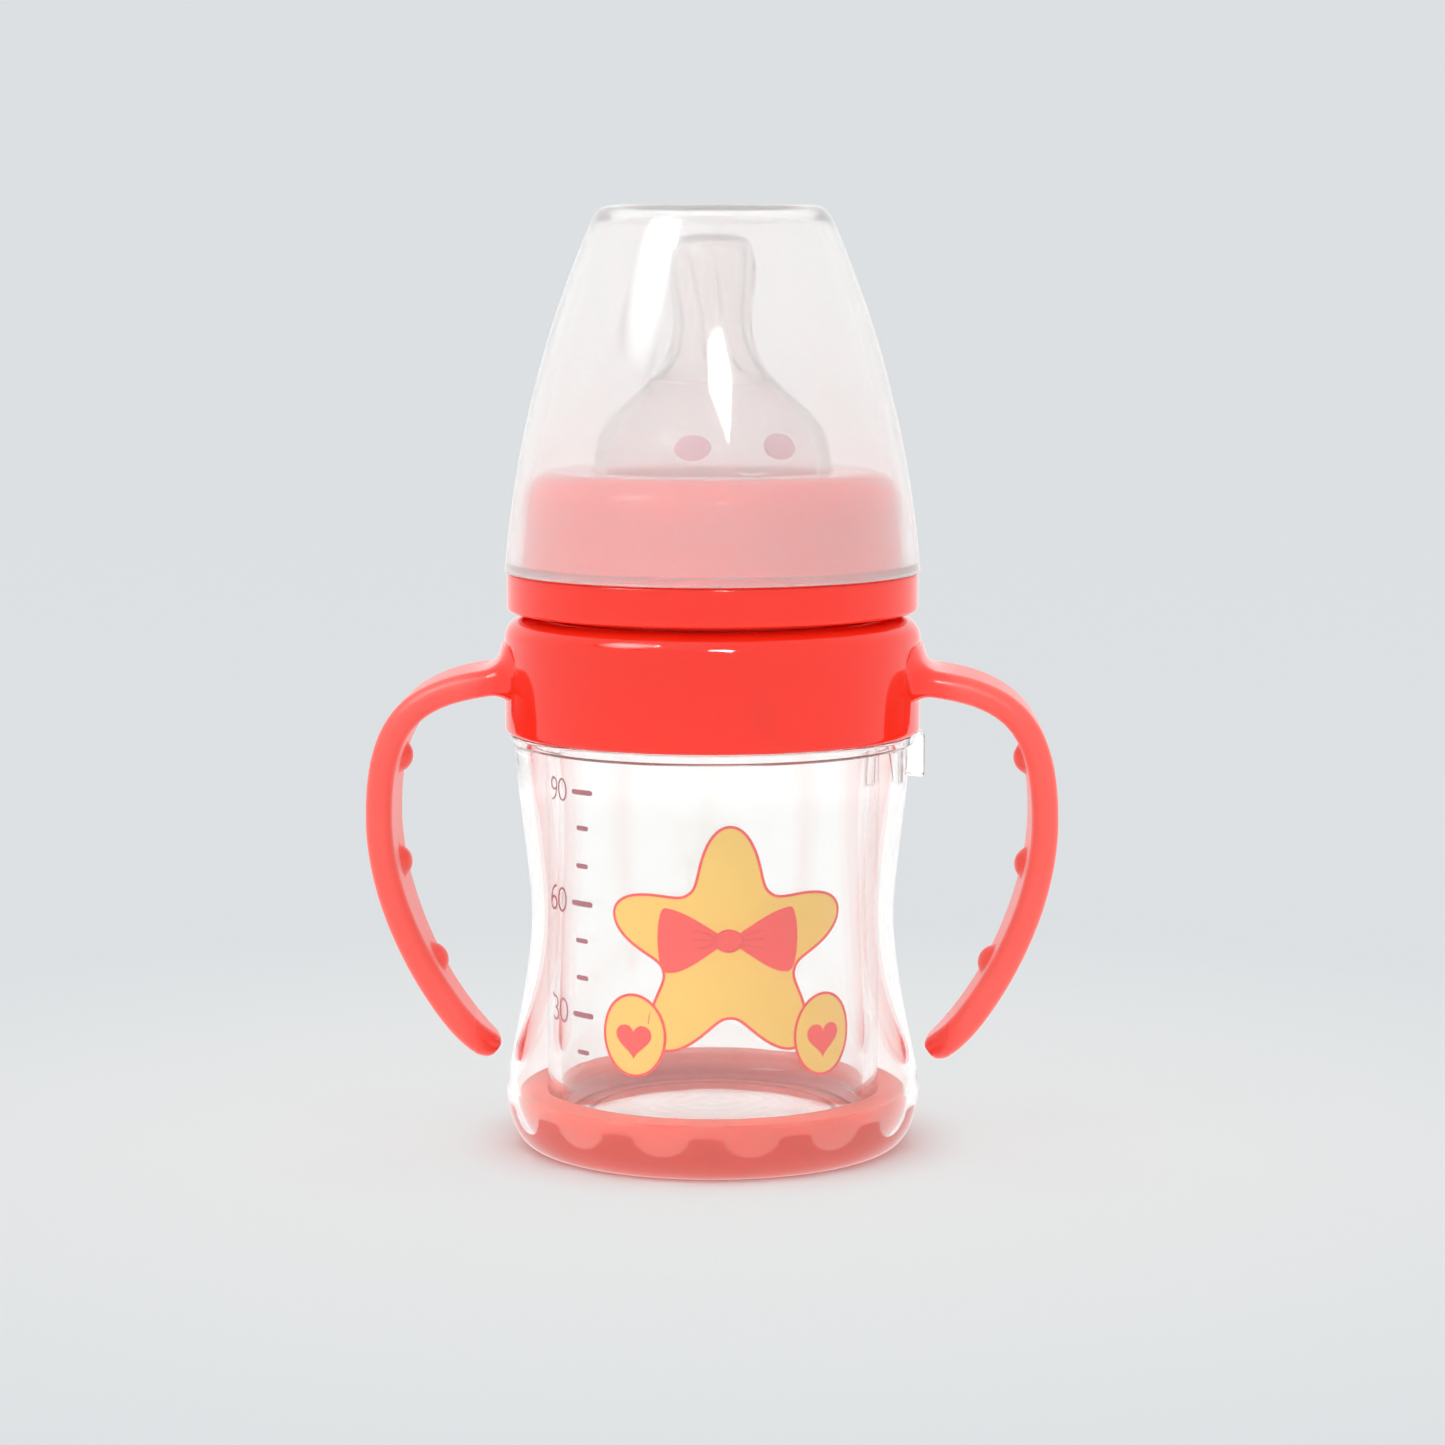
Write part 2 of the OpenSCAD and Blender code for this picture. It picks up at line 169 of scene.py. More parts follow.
# ---- bodies

def on_circle(radius, angle, z):
    """The point at a radius, an angle in radians and a height."""
    return radius * math.cos(angle), radius * math.sin(angle), z


def lathe(outline, shape=None):
    """Vertices and faces of a closed outline of (radius, height) turned round the axis."""
    verts, rows, faces = [], [], []
    for radius, height in outline:
        if radius < 1e-6:
            rows.append([len(verts)] * SEGMENTS)
            verts.append((0, 0, height))
            continue
        rows.append(list(range(len(verts), len(verts) + SEGMENTS)))
        for i in range(SEGMENTS):
            angle = TURN * i / SEGMENTS
            r, z = shape(angle, radius, height) if shape else (radius, height)
            verts.append(on_circle(r, angle, z))
    for row, following in zip(rows, rows[1:] + rows[:1]):
        for i in range(SEGMENTS):
            k = (i + 1) % SEGMENTS
            corners = list(dict.fromkeys((row[i], row[k], following[k], following[i])))
            if len(corners) > 2:
                faces.append(corners)
    return verts, faces


def skin(rings):
    """Vertices and faces of a body drawn through rings of points, with both ends filled by strips."""
    count = len(rings[0])
    verts = [point for ring in rings for point in ring]
    faces = []
    for start in (0, len(verts) - count):
        for i in range((count - 1) // 2):
            corners = (i, i + 1, count - 2 - i, count - 1 - i)
            faces.append([start + corner for corner in dict.fromkeys(corners)])
    for start in range(0, len(verts) - count, count):
        for i in range(count):
            k = (i + 1) % count
            faces.append([start + i, start + k, start + count + k, start + count + i])
    return verts, faces


def around(outline, middle, span, steps):
    """A piece of a ring: an outline of (radius, height) drawn over a span of degrees from an angle."""
    start, end = middle + span[0], middle + span[1]
    rings = []
    for i in range(steps + 1):
        angle = math.radians(start + (end - start) * i / steps)
        rings.append([on_circle(r, angle, z) for r, z in outline])
    return skin(rings)


def gathered(bodies):
    """Several bodies as one list of vertices and faces."""
    verts, faces = [], []
    for body_verts, body_faces in bodies:
        faces += [[index + len(verts) for index in face] for face in body_faces]
        verts += body_verts
    return verts, faces


def rotated(body, degrees):
    """The body turned round the axis."""
    angle = math.radians(degrees)
    c, s = math.cos(angle), math.sin(angle)
    verts, faces = body
    return [(x * c - y * s, x * s + y * c, z) for x, y, z in verts], faces


def clean_mesh(name, body):
    """A mesh in metres from vertices and faces in millimetres, with its faces looking outwards."""
    verts, faces = body
    mesh = bpy.data.meshes.new(name)
    mesh.from_pydata([[value * MM for value in vert] for vert in verts], [], faces)
    made = bmesh.new()
    made.from_mesh(mesh)
    bmesh.ops.recalc_face_normals(made, faces=made.faces)
    made.to_mesh(mesh)
    made.free()
    return mesh


def add_object(name, mesh):
    """An object of the mesh, in the scene."""
    piece = bpy.data.objects.new(name, mesh)
    bpy.context.scene.collection.objects.link(piece)
    return piece


def union_mesh(name, bodies):
    """One closed mesh from bodies that overlap."""
    whole = add_object(name + "_whole", clean_mesh(name, bodies[0]))
    others = [add_object(f"{name}_part{i}", clean_mesh(name, body)) for i, body in enumerate(bodies[1:])]
    for other in others:
        join = whole.modifiers.new("join", "BOOLEAN")
        join.operation = "UNION"
        join.solver = "EXACT"
        join.object = other
    bpy.context.view_layer.update()
    depsgraph = bpy.context.evaluated_depsgraph_get()
    mesh = bpy.data.meshes.new_from_object(whole.evaluated_get(depsgraph))
    for helper in [whole] + others:
        bpy.data.objects.remove(helper)
    made = bmesh.new()
    made.from_mesh(mesh)
    bmesh.ops.remove_doubles(made, verts=made.verts, dist=2e-6)
    bmesh.ops.dissolve_degenerate(made, edges=made.edges, dist=1e-6)
    made.to_mesh(mesh)
    made.free()
    return mesh


def add_piece(name, mesh, material, body, nodes=()):
    """A smooth shaded piece that rides on a CAD body and stands for CAD nodes."""
    mesh.materials.clear()
    mesh.materials.append(material)
    mesh.shade_smooth()
    mesh.set_sharp_from_angle(angle=SMOOTH_ANGLE)
    piece = add_object(name, mesh)
    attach(piece, body)
    if nodes:
        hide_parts(*nodes)
    return piece


# ---- materials

def new_material(name, sockets):
    """A material of one Principled shader, with the given values on its sockets."""
    material = bpy.data.materials.new(name)
    material.use_nodes = True
    shader = material.node_tree.nodes["Principled BSDF"]
    for socket, value in sockets.items():
        shader.inputs[socket].default_value = value
    return material


def add_node(material, kind, inputs, **settings):
    """A shader node; each of its inputs is a plain value or another node's output."""
    node = material.node_tree.nodes.new("ShaderNode" + kind)
    for name, value in settings.items():
        setattr(node, name, value)
    for socket, value in inputs.items():
        if isinstance(value, bpy.types.NodeSocket):
            material.node_tree.links.new(value, node.inputs[socket])
        else:
            node.inputs[socket].default_value = value
    return node


def noise(material, scale, detail=3.0, stretch=(1, 1, 1)):
    """A noise pattern in the piece's own space, in features per metre."""
    place = add_node(material, "TexCoord", {}).outputs["Object"]
    mapped = add_node(material, "Mapping", {"Scale": stretch, "Vector": place}).outputs["Vector"]
    texture = add_node(material, "TexNoise", {"Scale": scale, "Detail": detail, "Vector": mapped})
    return texture.outputs["Fac"]


def ranged(material, value, from_low, from_high, low, high):
    """The value carried from one range to another and held there."""
    return add_node(material, "MapRange", {"Value": value, "From Min": from_low, "From Max": from_high,
                                           "To Min": low, "To Max": high}).outputs["Result"]


def mixed_colour(material, factor, first, second):
    """The first colour where the factor is 0 and the second where it is 1."""
    first, second = (value if isinstance(value, bpy.types.NodeSocket) else (*value, 1)
                     for value in (first, second))
    return add_node(material, "Mix", {"Factor": factor, 6: first, 7: second}, data_type="RGBA").outputs[2]


def mixed_value(material, factor, first, second):
    """The first number where the factor is 0 and the second where it is 1."""
    return add_node(material, "Mix", {"Factor": factor, "A": first, "B": second}).outputs["Result"]


def into_shader(material, socket, value):
    """Links a value to a socket of the material's Principled shader."""
    shader = material.node_tree.nodes["Principled BSDF"]
    material.node_tree.links.new(value, shader.inputs[socket])


def bumped(material, height, strength, depth):
    """Small relief from a height pattern; depth is in millimetres."""
    node = add_node(material, "Bump", {"Strength": strength, "Distance": depth * MM, "Height": height})
    into_shader(material, "Normal", node.outputs["Normal"])


def varied(material, pattern, first, second, smooth, rough, grain=None, span=(0.3, 0.7)):
    """Varies the base colour with a pattern, and the roughness with it or with a pattern of its own."""
    into_shader(material, "Base Color", mixed_colour(material, pattern, first, second))
    into_shader(material, "Roughness", ranged(material, grain or pattern, *span, smooth, rough))


def distance_share(material, near, far, counted=(1, 1, 0)):
    """0 up to one distance from the axis and 1 from another on; (1, 1, 1) measures from the origin."""
    place = add_node(material, "TexCoord", {}).outputs["Object"]
    flat = add_node(material, "VectorMath", {0: place, 1: counted}, operation="MULTIPLY").outputs["Vector"]
    length = add_node(material, "VectorMath", {0: flat}, operation="LENGTH").outputs["Value"]
    return ranged(material, length, near * MM, far * MM, 0, 1)


HANDLE_FADE = (32.2, 39.5)  # the collar's colour turns into the handles' paler one, which is painted sheen, between these distances


def red_plastic():
    """Glossy collar and ring; the thin handles are rougher and more satin, and their paler base colour is
    painted sheen.
    """
    material = new_material("red_plastic", {
        "IOR": 1.49, "Subsurface Weight": 0.6, "Subsurface Radius": (1.0, 0.16, 0.08),
        "Subsurface Scale": 0.005, "Sheen Roughness": 0.35})
    clouds = noise(material, 55)
    collar = mixed_colour(material, clouds, (0.99, 0.030, 0.010), (0.97, 0.018, 0.006))
    # painted sheen: the handles' paler base colour stands in for the soft reflection on their satin surface
    handle = mixed_colour(material, clouds, (0.97, 0.118, 0.092), (0.95, 0.102, 0.078))
    reach = distance_share(material, *HANDLE_FADE)
    into_shader(material, "Base Color", mixed_colour(material, reach, collar, handle))
    into_shader(material, "Roughness", ranged(material, reach, 0, 1, 0.06, 0.40))
    into_shader(material, "Sheen Weight", ranged(material, reach, 0, 1, 0, 0.35))
    bumped(material, noise(material, 620, 2), 0.10, 0.03)
    return material


def cap_plastic():
    """Milky clear cap with a drawn, slightly streaky wall and fine scuffs."""
    material = new_material("cap_plastic", {"IOR": 1.47, "Transmission Weight": 0.77})
    streaks = noise(material, 260, 4, (1, 1, 0.05))
    varied(material, streaks, (0.992, 1.0, 0.998), (0.978, 0.988, 0.985), 0.05, 0.10,
           noise(material, 140, 5), (0.35, 0.7))
    bumped(material, streaks, 0.12, 0.05)
    return material


def clear_silicone():
    """Clear soft teat, satin, tinted slightly pink as a painted reflection of the red ring."""
    material = new_material("clear_silicone", {"IOR": 1.38, "Transmission Weight": 0.88})
    # painted reflection: the faint pink of the base colour stands in for the red ring reflected in the dome
    varied(material, noise(material, 160), (1.0, 0.965, 0.965), (0.99, 0.945, 0.948), 0.10, 0.20)
    bumped(material, noise(material, 420, 2), 0.08, 0.04)
    return material


def vent_silicone():
    """Pink pads of the teat's vents."""
    material = new_material("vent_silicone", {"IOR": 1.38, "Transmission Weight": 0.30})
    varied(material, noise(material, 500), (0.90, 0.32, 0.46), (0.84, 0.27, 0.41), 0.3, 0.45)
    return material


def gasket_silicone():
    """Milky soft seal."""
    material = new_material("gasket_silicone", {"IOR": 1.41, "Transmission Weight": 0.25})
    varied(material, noise(material, 300), (0.93, 0.92, 0.91), (0.88, 0.87, 0.86), 0.4, 0.55)
    return material


def clear_glass():
    """Pressed glass with faint ripples."""
    material = new_material("clear_glass", {"IOR": 1.47, "Transmission Weight": 0.992})
    ripples = noise(material, 45, 2)
    varied(material, ripples, (0.998, 1.0, 0.998), (0.99, 0.996, 0.992), 0.0, 0.015)
    bumped(material, ripples, 0.15, 0.15)
    return material


def shell_plastic():
    """Clear hard plastic with faint streaks."""
    material = new_material("shell_plastic", {"IOR": 1.5, "Transmission Weight": 0.975})
    streaks = noise(material, 120, 4, (1, 1, 0.2))
    varied(material, streaks, (1.0, 1.0, 0.996), (0.99, 0.992, 0.985), 0.01, 0.04, span=(0.35, 0.7))
    bumped(material, noise(material, 70, 2), 0.08, 0.10)
    return material


def red_silicone():
    """Soft red base ring that light sinks into, with a matt skin."""
    material = new_material("red_silicone", {
        "IOR": 1.41, "Specular IOR Level": 0.4, "Subsurface Weight": 0.8,
        "Subsurface Radius": (1.0, 0.2, 0.14), "Subsurface Scale": 0.006})
    varied(material, noise(material, 130, 4), (1.0, 0.155, 0.105), (0.97, 0.13, 0.09), 0.5, 0.65,
           noise(material, 700, 2))
    bumped(material, noise(material, 900, 2), 0.15, 0.05)
    return material


def print_ink(name, light, dark):
    """Screen-printed ink, a little uneven."""
    material = new_material(name, {"IOR": 1.45})
    varied(material, noise(material, 380, 4), light, dark, 0.3, 0.42, noise(material, 900, 2))
    return material


# ---- dust cap

CAP_WALL = 1.25
CAP_BOW_R = 163.6  # radius of the cap's long arc
CAP_BOW_Z = 76.2  # height of its centre
CAP_EDGE_Z = CAP_HIGH.z - 3  # where the side begins to round into the top
CAP_FOOT_IN = 1.4  # how far up the inner wall's foot lies


def cap_side_r(z):
    """Outer radius of the cap's side at a height."""
    def bow(height):
        return math.sqrt(CAP_BOW_R ** 2 - (height - CAP_BOW_Z) ** 2)
    return CAP_HIGH.x + bow(z) - bow(CAP_LOW.z)


def cap_wall(inset, low):
    """One face of the cap's wall, from the height low up to the middle of its flat top."""
    side = [low + (CAP_EDGE_Z - low) * i / 40 for i in range(41)]
    edge_r = cap_side_r(CAP_EDGE_Z) - inset
    top = CAP_HIGH.z - inset
    return ([(cap_side_r(z) - inset, z) for z in side]
            + bezier((edge_r, CAP_EDGE_Z), (edge_r - 0.8, top - 1.2 + inset / 2),
                     (edge_r - 1.5, top), (edge_r - 3.6, top), 9)[1:]
            + [(edge_r - 8, top), (5, top), (0, top)])


def make_cap():
    """The clear cap; its rim has a narrow ledge inwards that grips the screw ring."""
    rim = CAP_LOW.z
    rim_r = cap_side_r(rim)
    foot = rim + CAP_FOOT_IN
    outline = (cap_wall(0, rim + 0.5) + cap_wall(CAP_WALL, foot)[::-1]
               + rounded([(cap_side_r(foot) - CAP_WALL, foot), (RING_SIDE_R + 0.08, rim, 0.15),
                          (rim_r, rim, 0.15), (rim_r, rim + 0.5)])[1:-1])
    add_piece("clear_dust_cap", clean_mesh("cap", lathe(outline)), cap_plastic(),
              "cap", ["dust_cap"])


# ---- teat

TEAT_WALL = 1.8
NIPPLE_WALL = 1.3
NIPPLE_R = 6.45
NIPPLE_BULB_Z = 135.8  # height of the widest place, under the tip
NIPPLE_NECK_R = 5.65
NIPPLE_NECK_Z = 127.6
NIPPLE_FOOT = (9.3, 118.4)
FEED_HOLE_R = 0.35
RIB_COUNT = 6
RIB_TWIST = math.radians(1.8)  # per millimetre of height
RIB_TOP = 138.2  # the ribs have faded out here and above
RIB_INSIDE = 0.8  # height of a rib on the inner face
RIB_OUTSIDE = -0.35  # dent over a rib on the outer face
VENTS = ((-99, 2.7, 1.8), (-49, 2.7, 1.8))  # angle, half width, half height
VENT_Z = 108.4
VENT_LAYERS = ((-0.138, 0.9), (-0.145, 1), (-0.55, 1), (-0.682, 0.9))  # lift, share of full size
KEY_ANGLE = -69
KEY_LAYERS = ((-0.4, 1), (0.05, 1), (0.16, 0.8), (0.2, 0.4))


def dome(outer):
    """The teat's dome from the nipple's foot down to the ring; the inner face starts with a ledge."""
    wall = 0 if outer else TEAT_WALL
    foot_r, foot_z = NIPPLE_FOOT
    start_r = foot_r - (0 if outer else NIPPLE_WALL)
    top = RING_HIGH.z
    ledge = [] if outer else [(start_r, foot_z), (start_r + 0.1, foot_z - 0.75)]
    start = (start_r, foot_z) if outer else (start_r + 0.9, foot_z - 0.9)
    return ledge + bezier(start, (foot_r + 5.2 - wall, foot_z - 5.6 - wall / 2),
                          (TEAT_DOME_R - wall, top + 8.2 - wall), (TEAT_DOME_R - wall, top), 26)


def nipple(wall):
    """The nipple from its tip down to its foot, drawn in by a wall."""
    tip = TEAT_HIGH.z - wall
    hole = (FEED_HOLE_R, tip if wall else tip - 0.05)
    bulb_r, bulb_z = NIPPLE_R - wall, NIPPLE_BULB_Z - wall / 2
    neck_r, neck_z = NIPPLE_NECK_R - wall, NIPPLE_NECK_Z
    foot_r, foot_z = NIPPLE_FOOT[0] - wall, NIPPLE_FOOT[1]
    return ([hole] + bezier((1.2, tip), (4.9, tip), (bulb_r, tip - 0.7), (bulb_r, bulb_z), 14)
            + bezier((bulb_r, bulb_z), (bulb_r, 132.8), (neck_r, neck_z + 2), (neck_r, neck_z), 14)[1:]
            + bezier((neck_r, neck_z), (neck_r, neck_z - 4.7), (foot_r - 2.2, foot_z + 1.9),
                     (foot_r, foot_z), 16)[1:])


def rib_relief(angle, radius, z):
    """Spiral ribs on the nipple: strong inside the wall and faint outside."""
    fade = max(0, min(1, (z - NIPPLE_FOOT[1] - 0.2) / 3, (RIB_TOP - z) / 2.5))
    if not fade or radius < 2.5:
        return radius, z
    wave = math.cos(RIB_COUNT * (angle + RIB_TWIST * (z - NIPPLE_NECK_Z)) / 2) ** 6
    inside = radius < radius_at(nipple(0)[1:], z) - NIPPLE_WALL / 2
    return radius - (RIB_INSIDE if inside else RIB_OUTSIDE) * wave * fade, z


def make_teat():
    """The teat with its flange, and on its dome the two vents and a small key."""
    flange_r = TEAT_HIGH.x
    flange_z = TEAT_LOW.z
    flange_top = RING_HIGH.z - 1.7
    inner_r = TEAT_DOME_R - TEAT_WALL
    outline = (nipple(0) + dome(True)[1:]
               + rounded([(TEAT_DOME_R, RING_HIGH.z), (TEAT_DOME_R, flange_top, 0.5),
                          (flange_r, flange_top, 0.4), (flange_r, flange_z, 0.4),
                          (inner_r, flange_z, 0.4), (inner_r, RING_HIGH.z)])[1:-1]
               + dome(False)[::-1] + nipple(NIPPLE_WALL)[:-1][::-1])
    silicone = clear_silicone()
    add_piece("ribbed_teat", clean_mesh("teat_body", lathe(outline, rib_relief)), silicone,
              "teat", ["teat"])
    add_piece("teat_vents", vent_mesh(), vent_silicone(), "teat")
    add_piece("teat_key", key_mesh(), silicone, "teat")


def oval_pad(place, half_w, half_h, layers, wall_r, count):
    """A small oval lump at a place (angle, height) of a round wall, built up in layers."""
    rings = []
    for lift, size in layers:
        ring = []
        for i in range(count):
            way = TURN * i / count
            z = place[1] + half_h * size * math.sin(way)
            r = wall_r(z) + lift
            ring.append(on_circle(r, math.radians(place[0]) + half_w * size * math.cos(way) / r, z))
        rings.append(ring)
    return skin(rings)


def vent_mesh():
    """Small oval valve pads inside the dome."""
    inner_face = dome(False)
    pads = [oval_pad((angle, VENT_Z), half_w, half_h, VENT_LAYERS, lambda z: radius_at(inner_face, z), 32)
            for angle, half_w, half_h in VENTS]
    return clean_mesh("vents", gathered(pads))


def key_mesh():
    """Small nub on the dome that shows how the teat sits in its ring."""
    place = (KEY_ANGLE, RING_HIGH.z + 0.75)
    return clean_mesh("teat_key", oval_pad(place, 2.3, 0.65, KEY_LAYERS, lambda z: TEAT_DOME_R, 24))


# ---- thread

THREAD_PITCH = 4.5
THREAD_TURNS = 1.25
THREAD_HEIGHT = 1.4
THREAD_Z = 88.2  # where the neck's ridge starts
THREAD_GAP = 0.4
THREAD_STEP = 4  # degrees between two sections of a ridge
THREAD_FADE = 30  # degrees over which a ridge fades in and out
THREAD_BORE_R = NECK_R + THREAD_HEIGHT + THREAD_GAP


def thread_ridge(wall_r, start_z, side):
    """One rounded ridge of thread; side is 1 outside a wall and -1 inside."""
    last = THREAD_TURNS * 360
    rings = []
    for degrees in range(0, int(last) + 1, THREAD_STEP):
        crest = THREAD_HEIGHT * max(0.05, min(1, degrees / THREAD_FADE, (last - degrees) / THREAD_FADE))
        z = start_z + THREAD_PITCH * degrees / 360
        profile = ((-0.4, -1.0), (0, -1.0), (0.8 * crest, -0.58), (crest, -0.3),
                   (crest, 0.3), (0.8 * crest, 0.58), (0, 1.0), (-0.4, 1.0))
        angle = math.radians(degrees)
        rings.append([on_circle(wall_r + side * out, angle, z + up) for out, up in profile])
    return skin(rings)


# ---- screw ring

def make_ring(red):
    """The screw ring: a flange for the cap, and a threaded inner skirt."""
    low, top = RING_LOW.z, RING_HIGH.z
    skirt_low, roof = low - 0.75, top - 1.6
    hollow_in, hollow_out, hollow_top = 26.5, 27.7, 99.0  # between the two skirts
    flange_in, flange_roof, flange_top = 30.0, low + 4.2, low + 6
    outline = rounded([
        (THREAD_BORE_R, skirt_low, 0.2), (hollow_in, skirt_low, 0.2), (hollow_in, hollow_top, 0.4),
        (hollow_out, hollow_top, 0.4), (hollow_out, flange_roof, 0.3), (flange_in, flange_roof, 0.4),
        (flange_in, low, 0.3), (RING_HIGH.x, low, 1.2), (RING_HIGH.x, flange_top, 0.55),
        (RING_SIDE_R, flange_top, 0.3), (28.8, top, 4.5), (RING_OPENING_R, top, 0.45),
        (RING_OPENING_R, roof, 0.3), (THREAD_BORE_R, roof, 0.3)], 9)
    bodies = [lathe(supported(outline)), thread_ridge(THREAD_BORE_R, THREAD_Z - THREAD_PITCH / 2, -1)]
    add_piece("red_screw_ring", union_mesh("ring", bodies), red, "ring", ["screw_ring"])


# ---- handle collar

STRAP_HALF_THICK = 2.05
STRAP_TIP_SWELL = 1.07  # the strap thickens by this much towards its tip
STRAP_CORNER = 2  # rounding of the strap's long edges
STRAP_TONGUE = 9  # length of the tip's rounding, seen on the strap's flat face
STRAP_HALF_WIDTHS = ((13, 5.0), (18.4, 5.3), (24, 5.85), (30, 6.7), (38, 7.9), (48, 8.8), (60, 9.45),
                     (67, 9.8), (90, 9.8))  # height, half width
STRAP_ROOT = (31.15, 73.0)
STRAP_BOW = (51, 51)
STRAP_TIP = (35.3, 15.3)
STRAP_UPPER = (STRAP_ROOT, (43.5, 71.1), (STRAP_BOW[0], 69), STRAP_BOW)
STRAP_LOWER = (STRAP_BOW, (STRAP_BOW[0], 36.1), (41.4, 19.9), STRAP_TIP)
ROOT_FILLET = 3.2  # radius of the fillet where the strap runs into the collar
ROOT_OVERLAP = 0.15  # how deep in the wall the root's fillet ends
ROOT_BEND = 8  # length over which the strap's root follows the collar's round wall
NUB_R = 2.75
NUB_SINK = 1.15  # how far below the strap's inner face a nub's centre lies
NUB_BLEND = 0.6
NUB_PLACES = ((STRAP_UPPER, 0.785), (STRAP_LOWER, 0.167), (STRAP_LOWER, 0.54))


def strap_half_width(z):
    """Half width of the strap at a height: wide at the collar, narrow at the tip."""
    for (z0, w0), (z1, w1) in zip(STRAP_HALF_WIDTHS, STRAP_HALF_WIDTHS[1:]):
        if z <= z1:
            share = max(0, (z - z0) / (z1 - z0))
            return w0 + (w1 - w0) * share
    return STRAP_HALF_WIDTHS[-1][1]


def centre_line(steps):
    """Places along the strap: centre, outward direction and the length left to the end of the tip."""
    path = bezier(*STRAP_UPPER, steps=steps) + bezier(*STRAP_LOWER, steps=steps)[1:]
    points = [Vector(point) for point in path]
    ways = [(after - before).normalized()
            for before, after in zip(points[:1] + points, points[1:] + points[-1:])]
    for i in range(1, 13):
        reach = math.sin(math.pi * i / 24)
        points.append(Vector(STRAP_TIP) + ways[-1] * STRAP_HALF_THICK * STRAP_TIP_SWELL * reach)
        ways.append(ways[-1])
    places = []
    left = 0
    for i in range(len(points) - 1, -1, -1):
        places.append((points[i], Vector((-ways[i].y, ways[i].x)), left))
        left += (points[i] - points[i - 1]).length
    return places[::-1]


def rounded_end(left, length):
    """Share of full size at a distance from an end that is rounded over a length."""
    return max(0.03, math.sqrt(1 - (1 - min(1, left / length)) ** 2))


def strap_section(half_width, half_thick, corner, face_points, corner_points):
    """A rounded rectangle: points across and outward, each with its direction."""
    section = []
    inner_w, inner_t = half_width - corner, half_thick - corner
    for turn, (sx, sy) in enumerate(((1, 1), (-1, 1), (-1, -1), (1, -1))):
        for i in range(corner_points + 1):
            angle = math.pi / 2 * (turn + i / corner_points)
            way = (math.cos(angle), math.sin(angle))
            section.append(((sx * inner_w + corner * way[0], sy * inner_t + corner * way[1]), way))
        if turn in (0, 2):
            for i in range(1, face_points):
                across = sx * inner_w * (1 - 2 * i / face_points)
                section.append(((across, sy * half_thick), (0, sy)))
    return section


def nub_centres():
    """Centre of each finger nub, and the direction in which it rises."""
    centres = []
    for line, t in NUB_PLACES:
        path = bezier(*line, steps=1000)
        here, after = Vector(path[int(t * 1000)]), Vector(path[int(t * 1000) + 1])
        along = (after - here).normalized()
        outward = Vector((-along.y, along.x))
        centre = here + outward * (NUB_SINK - STRAP_HALF_THICK)
        centres.append((Vector((centre.x, 0, centre.y)), Vector((-outward.x, 0, -outward.y))))
    return centres


def with_nubs(point, nubs):
    """Raises a point of the strap's inner face onto the finger nub that it lies under."""
    for centre, inward in nubs:
        offset = point - centre
        height = offset.dot(inward)
        aside = (offset - inward * height).length
        if height > 0 and aside < NUB_R:
            dome_height = math.sqrt(NUB_R ** 2 - aside ** 2)
            return point + inward * (smooth_max(height, dome_height, NUB_BLEND) - height)
    return point


def root_flare(reach):
    """How far the strap spreads where it runs into the collar."""
    gap = ROOT_FILLET - min(max(reach - COLLAR_R + ROOT_OVERLAP, 0), ROOT_FILLET)
    return ROOT_FILLET - math.sqrt(ROOT_FILLET ** 2 - gap ** 2)


def bent_root(point):
    """The point moved inwards, near the collar, so that the strap's root follows the round wall."""
    share = min(1, max(0, (point.x - COLLAR_R) / ROOT_BEND))
    share = share * share * (3 - 2 * share)
    bent_x = math.sqrt(point.x ** 2 - point.y ** 2)
    return Vector((bent_x + (point.x - bent_x) * share, point.y, point.z))


def handle():
    """The right handle, from inside the collar's wall to its round tip."""
    nubs = nub_centres()
    rings = []
    for centre, outward, left in centre_line(90):
        lowness = min(1, max(0, (STRAP_BOW[1] - centre.y) / (STRAP_BOW[1] - STRAP_TIP[1])))
        full = STRAP_HALF_THICK * (1 + (STRAP_TIP_SWELL - 1) * lowness)
        thick = full * rounded_end(left, STRAP_HALF_THICK * STRAP_TIP_SWELL)
        width = strap_half_width(centre.y) * rounded_end(left, STRAP_TONGUE)
        corner = min(STRAP_CORNER, 0.96 * thick, 0.96 * width)
        flare = root_flare(centre.x)
        ring = []
        for (across, out), way in strap_section(width, thick, corner, 30, 7):
            across += flare * way[0]
            out += flare * way[1]
            point = Vector((centre.x + outward.x * out, across, centre.y + outward.y * out))
            if centre.x < COLLAR_R + ROOT_BEND and centre.y > STRAP_BOW[1]:
                point = bent_root(point)
            ring.append(with_nubs(point, nubs) if way[1] < 0 else point)
        rings.append(ring)
    return skin(rings)


